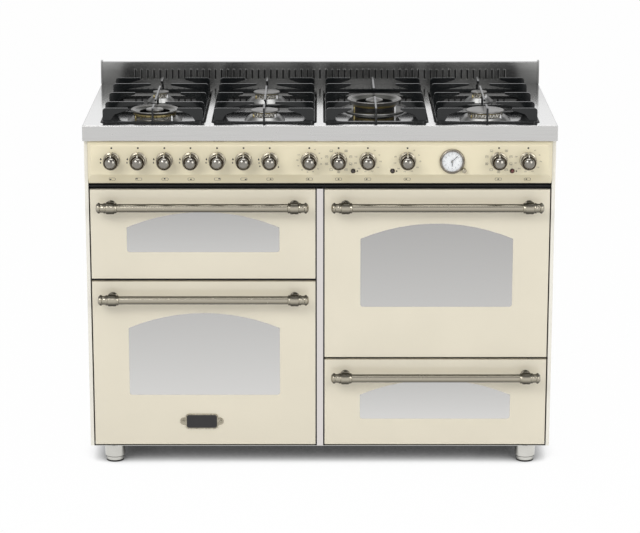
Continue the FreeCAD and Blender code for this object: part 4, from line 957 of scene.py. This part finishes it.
def lamp_lenses():
    """Three domed lamps in dark rims."""
    lamps = Shape()
    for x, finish in LAMPS:
        spot = (x, FRONT, LAMP_Z)
        lamps.ring([(6, 0.1), (6, 1.2), (5.4, 1.8), (4.7, 1.5), (4.6, 0.1)], spot, "-Y", PATINA_AND_PAINTED_SHADE, 32)
        lamps.turn([(4.6, 0.2), (4.6, 1.6), (4.0, 2.8), (2.6, 3.7), (0, 4)], spot, "-Y", finish, 32)
    lamps.done("lamp_lenses", "cabinet", "lamp_lens", ["indicator_lamps"])


clock_housing()
clock_numerals()
clock_setter()
lamp_lenses()

# --- Panel marks ---

MARK_OUT = 0.12
MARK_Y = FRONT - MARK_OUT
FLAME = [(0, 1.0), (-0.30, 0.45), (-0.55, 0.0), (-0.58, -0.4), (-0.35, -0.75), (0, -0.9), (0.35, -0.75),
         (0.58, -0.4), (0.5, 0.0), (0.22, 0.25)]
# across, up and size of the flames beside a gas knob, and beside the seventh
GAS_FLAMES = [(-27, 3.2, 3.5), (-28, -5.8, 2.9)]
SEVENTH_FLAMES = [(-28, 2.5, 3.4), (-27, -6.5, 2.7), (-25, -15, 3.0), (22, -17, 3.0)]
# where the dot lies in each knob's pad on the slope
PAD_DOTS = [(-4.5, -1.2), (-4.5, 1.2), (-1.0, 1.2), (-0.5, -1.2), (4.2, 1.2), (4.4, -1.2), (1.8, 0),
            (-2.5, 0), (0, 0), (-2.5, 0), (-2.5, 0), (0, 0), (-2.5, 0)]
TIMER_KNOB, FUNCTION_KNOBS, HEAT_KNOBS = 8, (9, 12), (10, 11, 13)


def circle(radius, steps):
    return [(radius * math.cos(2 * math.pi * i / steps), radius * math.sin(2 * math.pi * i / steps))
            for i in range(steps)]


def print_flat(marks, outline, x, z):
    """An outline filled with ink on the panel's main face."""
    marks.add([(x + u, MARK_Y, z + v) for u, v in outline], [tuple(range(len(outline)))], INK, True)


def flame(marks, x, z, size):
    print_flat(marks, [(u * size, v * size) for u, v in FLAME], x, z)


def stroke(marks, a, b, wide):
    """A thin printed line between two points of the panel's main face."""
    start, end = Vector((a[0], MARK_Y, a[1])), Vector((b[0], MARK_Y, b[1]))
    way = (end - start).normalized()
    side = Vector((-way.z, 0, way.x)) * wide / 2
    marks.add([start - side, start + side, end + side, end - side], [(0, 1, 2, 3)], INK, True)


def on_bevel(x, up):
    """A point of the panel's lower slope, a given way up it from its foot."""
    slope = Vector((0, FRONT - FACE, BEND_Z - PANEL_FOOT_Z)).normalized()
    normal = Vector((0, -slope.z, slope.y))
    return Vector((x, FACE, PANEL_FOOT_Z)) + slope * up + normal * MARK_OUT


def bevel_pad(marks, x, dot):
    """An outlined pad on the slope, with a dot in it for the burner or oven that a knob serves."""
    wide, high, line, up = 8.4, 5.0, 0.9, 15
    outer = rounded_outline((-wide, -high), (wide, high), 3.0, 4)
    inner = rounded_outline((line - wide, line - high), (wide - line, high - line), 2.5, 4)
    points = [on_bevel(x + u, up + v) for u, v in outer + inner]
    marks.add(points, bands(2, len(outer)), INK_PALE, True)
    ring = [on_bevel(x + dot[0] + u, up + dot[1] + v) for u, v in circle(2.4, 12)]
    marks.add(ring, [tuple(range(len(ring)))], INK, True)


def round_knob(centre, degrees, wide, high):
    """A place round a knob, some degrees clockwise from its top."""
    angle = math.radians(90 - degrees)
    return centre.x + wide * math.cos(angle), centre.z + high * math.sin(angle)


def function_sign(marks, x, z, k):
    """A small oven outline with a line at its foot, its top or both."""
    corners = [(x - 3.4, z - 2.6), (x + 3.4, z - 2.6), (x + 3.4, z + 2.6), (x - 3.4, z + 2.6)]
    for a, b in zip(corners, corners[1:] + corners[:1]):
        stroke(marks, a, b, 0.5)
    for shown, up in ((k % 2, -1.2), (k % 3, 1.2)):
        if shown:
            stroke(marks, (x - 2.2, z + up), (x + 2.2, z + up), 0.7)


def knob_marks(marks, number):
    """The marks round one knob and on the slope under it."""
    centre = pivot(KNOBS[number - 1] + "_turn")
    bevel_pad(marks, centre.x, PAD_DOTS[number - 1])
    print_flat(marks, circle(2.4, 14), centre.x, centre.z + 31.5)
    if number < TIMER_KNOB:
        for u, v, size in GAS_FLAMES if number < 7 else SEVENTH_FLAMES:
            flame(marks, centre.x + u, centre.z + v, size)
    if number == TIMER_KNOB:
        for k in range(1, 12):
            x, z = round_knob(centre, 27 * k, 31, 31)
            marks.lettering(str(k * 10), 4.4, (x, MARK_Y, z), INK_PALE)
    if number in FUNCTION_KNOBS:
        for k in range(1, 10):
            function_sign(marks, *round_knob(centre, 36 * k, 32, 30), k)
    if number in HEAT_KNOBS:
        for k in range(1, 10):
            x, z = round_knob(centre, 32 * k, 32, 30)
            marks.lettering(str(25 + 25 * k), 4.6, (x, MARK_Y, z), INK_PALE)


def panel_marks():
    marks = Shape()
    for number in range(1, len(KNOBS) + 1):
        knob_marks(marks, number)
    for x, _ in LAMPS:
        print_flat(marks, circle(2.0, 14), x + 10.5, LAMP_Z - 0.5)
    marks.done("panel_marks", "cabinet", "hand_black")


panel_marks()

# --- Name plate, left blank ---

PLATE_X, PLATE_Z = -307.4, 113.4


def plate_outline(half_x, half_z, radius):
    outline = rounded_outline((-half_x, -half_z), (half_x, half_z), radius, 8)
    return [(PLATE_X + x, PLATE_Z + z) for x, z in outline]


def name_plate():
    """A rim with a round ear and a pin at each end, about a bare dark field."""
    ears = arc(PLATE_X + 47, PLATE_Z, 9.5, -90, 90, 10) + arc(PLATE_X - 47, PLATE_Z, 9.5, 90, 270, 10)
    rim = Shape()
    rim.slab([ears], -FACE, -FACE + 2.2, facing_front, PEWTER)
    rim.slab([plate_outline(42, 20, 8)], -FACE, -FACE + 3.4, facing_front, PEWTER)
    rim.done("name_plate_rim", "door_lower_left", "antique_brass", (), 0.7)
    inlay = Shape()
    inlay.slab([plate_outline(39.4, 17.4, 6)], -FACE + 3.3, -FACE + 3.8, facing_front, PLATE_DARK)
    for x in (PLATE_X - 49, PLATE_X + 49):
        inlay.turn([(3.4, 2.2), (3.4, 3.0), (2.6, 3.9), (1.2, 4.3), (0, 4.4)], (x, FACE, PLATE_Z), "-Y",
                   PEWTER, 20)
    inlay.done("name_plate_inlay", "door_lower_left", "antique_brass", (), 0.2)


name_plate()

# --- Stage, light and camera ---

FLOOR_REACH = 40.0
GLOW_SHARE = 0.98
# how near the floor a thing has to be to shade its glow, in metres, and the open share from dark to white
SHADE_NEAR, SHADE_OPEN = 0.12, (0.10, 0.62)
EVEN_LIGHT = 0.62
# what shiny metal sees, from straight ahead and below to straight up
ROOM = [(0.0, (0.97, 0.97, 0.9797)), (0.34, (0.97, 0.97, 0.9797)), (0.62, (0.22, 0.22, 0.2222)),
        (1.0, (1.0, 1.0, 1.0))]


def studio_floor():
    """A pale floor that shows as white to the camera and keeps the shade under the object."""
    material = bpy.data.materials.new("studio_floor")
    nodes = Nodes(material)
    nodes.tree.nodes.clear()

    def math_node(operation, first, second):
        made = nodes.node("Math")
        made.operation = operation
        nodes.link(first, made, 0)
        if isinstance(second, float):
            made.inputs[1].default_value = second
        else:
            nodes.link(second, made, 1)
        return made.outputs[0]

    rays = nodes.node("LightPath").outputs
    seen = math_node("MAXIMUM", rays["Is Camera Ray"], rays["Is Glossy Ray"])
    seen = math_node("MAXIMUM", seen, rays["Is Transmission Ray"])
    spread = nodes.node("MapRange", From_Min=SHADE_OPEN[0], From_Max=SHADE_OPEN[1])
    nodes.link(nodes.node("AmbientOcclusion", Distance=SHADE_NEAR).outputs["AO"], spread, "Value")
    glow = nodes.node("Emission", Color=(1, 1, 1, 1))
    nodes.link(spread.outputs["Result"], glow, "Strength")
    diffuse = nodes.node("BsdfDiffuse", Color=(0.80, 0.80, 0.80, 1))
    shown = nodes.mix(math_node("MULTIPLY", seen, GLOW_SHARE), diffuse.outputs[0], glow.outputs[0])
    nodes.link(shown, nodes.node("OutputMaterial"), "Surface")
    return material


def add_floor():
    data = bpy.data.meshes.new("floor")
    corners = [(x, y, 0) for x, y in ((-1, -1), (1, -1), (1, 1), (-1, 1))]
    data.from_pydata([Vector(corner) * FLOOR_REACH for corner in corners], [], [(0, 1, 2, 3)])
    data.materials.append(studio_floor())
    placed("floor", data)


def studio_world():
    """White behind the object, an even light for matt surfaces and a graded room for shiny ones."""
    world = bpy.data.worlds.new("studio")
    nodes = Nodes(world)
    nodes.tree.nodes.clear()
    split = nodes.node("SeparateXYZ")
    nodes.link(nodes.node("TexCoord").outputs["Generated"], split, "Vector")
    room = nodes.node("Background")
    nodes.link(nodes.ramp(split.outputs["Z"], ROOM), room, "Color")
    even = nodes.node("Background", Color=(0.98, 0.99, 1.0, 1), Strength=EVEN_LIGHT)
    white = nodes.node("Background", Color=(1, 1, 1, 1))
    rays = nodes.node("LightPath").outputs
    lit = nodes.mix(rays["Is Glossy Ray"], even.outputs[0], room.outputs[0])
    shown = nodes.mix(rays["Is Camera Ray"], lit, white.outputs[0])
    nodes.link(shown, nodes.node("OutputWorld"), "Surface")
    return world


def softbox(name, place, target, size, power):
    light = bpy.data.lights.new(name, "AREA")
    light.shape = "RECTANGLE"
    light.size, light.size_y = size
    light.energy = power
    lamp = placed(name, light)
    lamp.location = place
    lamp.rotation_mode = "QUATERNION"
    lamp.rotation_quaternion = (Vector(target) - Vector(place)).to_track_quat("-Z", "Y")


add_floor()
bpy.context.scene.world = studio_world()
softbox("key_light", (-2.2, -3.6, 3.4), (0, 0, 0.6), (2.2, 1.6), 70)
softbox("fill_light", (2.8, -3.2, 2.2), (0, 0, 0.5), (1.8, 2.2), 38)
softbox("top_light", (0, -0.2, 3.6), (0, 0, 0.9), (2.6, 1.2), 30)

# The camera looks down with no shift, from where the photograph's corners fit best.
CAMERA_PLACE = (0.0, -6.505, 2.147)
CAMERA_TILT = 14.52
CAMERA_LENS = 141.63
camera_data = bpy.data.cameras.new("camera")
camera_data.lens = CAMERA_LENS
camera_data.sensor_width = 36.0
camera_data.clip_end = 200.0
camera = bpy.data.objects.new("camera", camera_data)
camera.location = CAMERA_PLACE
camera.rotation_euler = (math.radians(90 - CAMERA_TILT), 0, 0)
bpy.context.scene.collection.objects.link(camera)
bpy.context.scene.camera = camera
bpy.context.scene.view_settings.view_transform = "Standard"
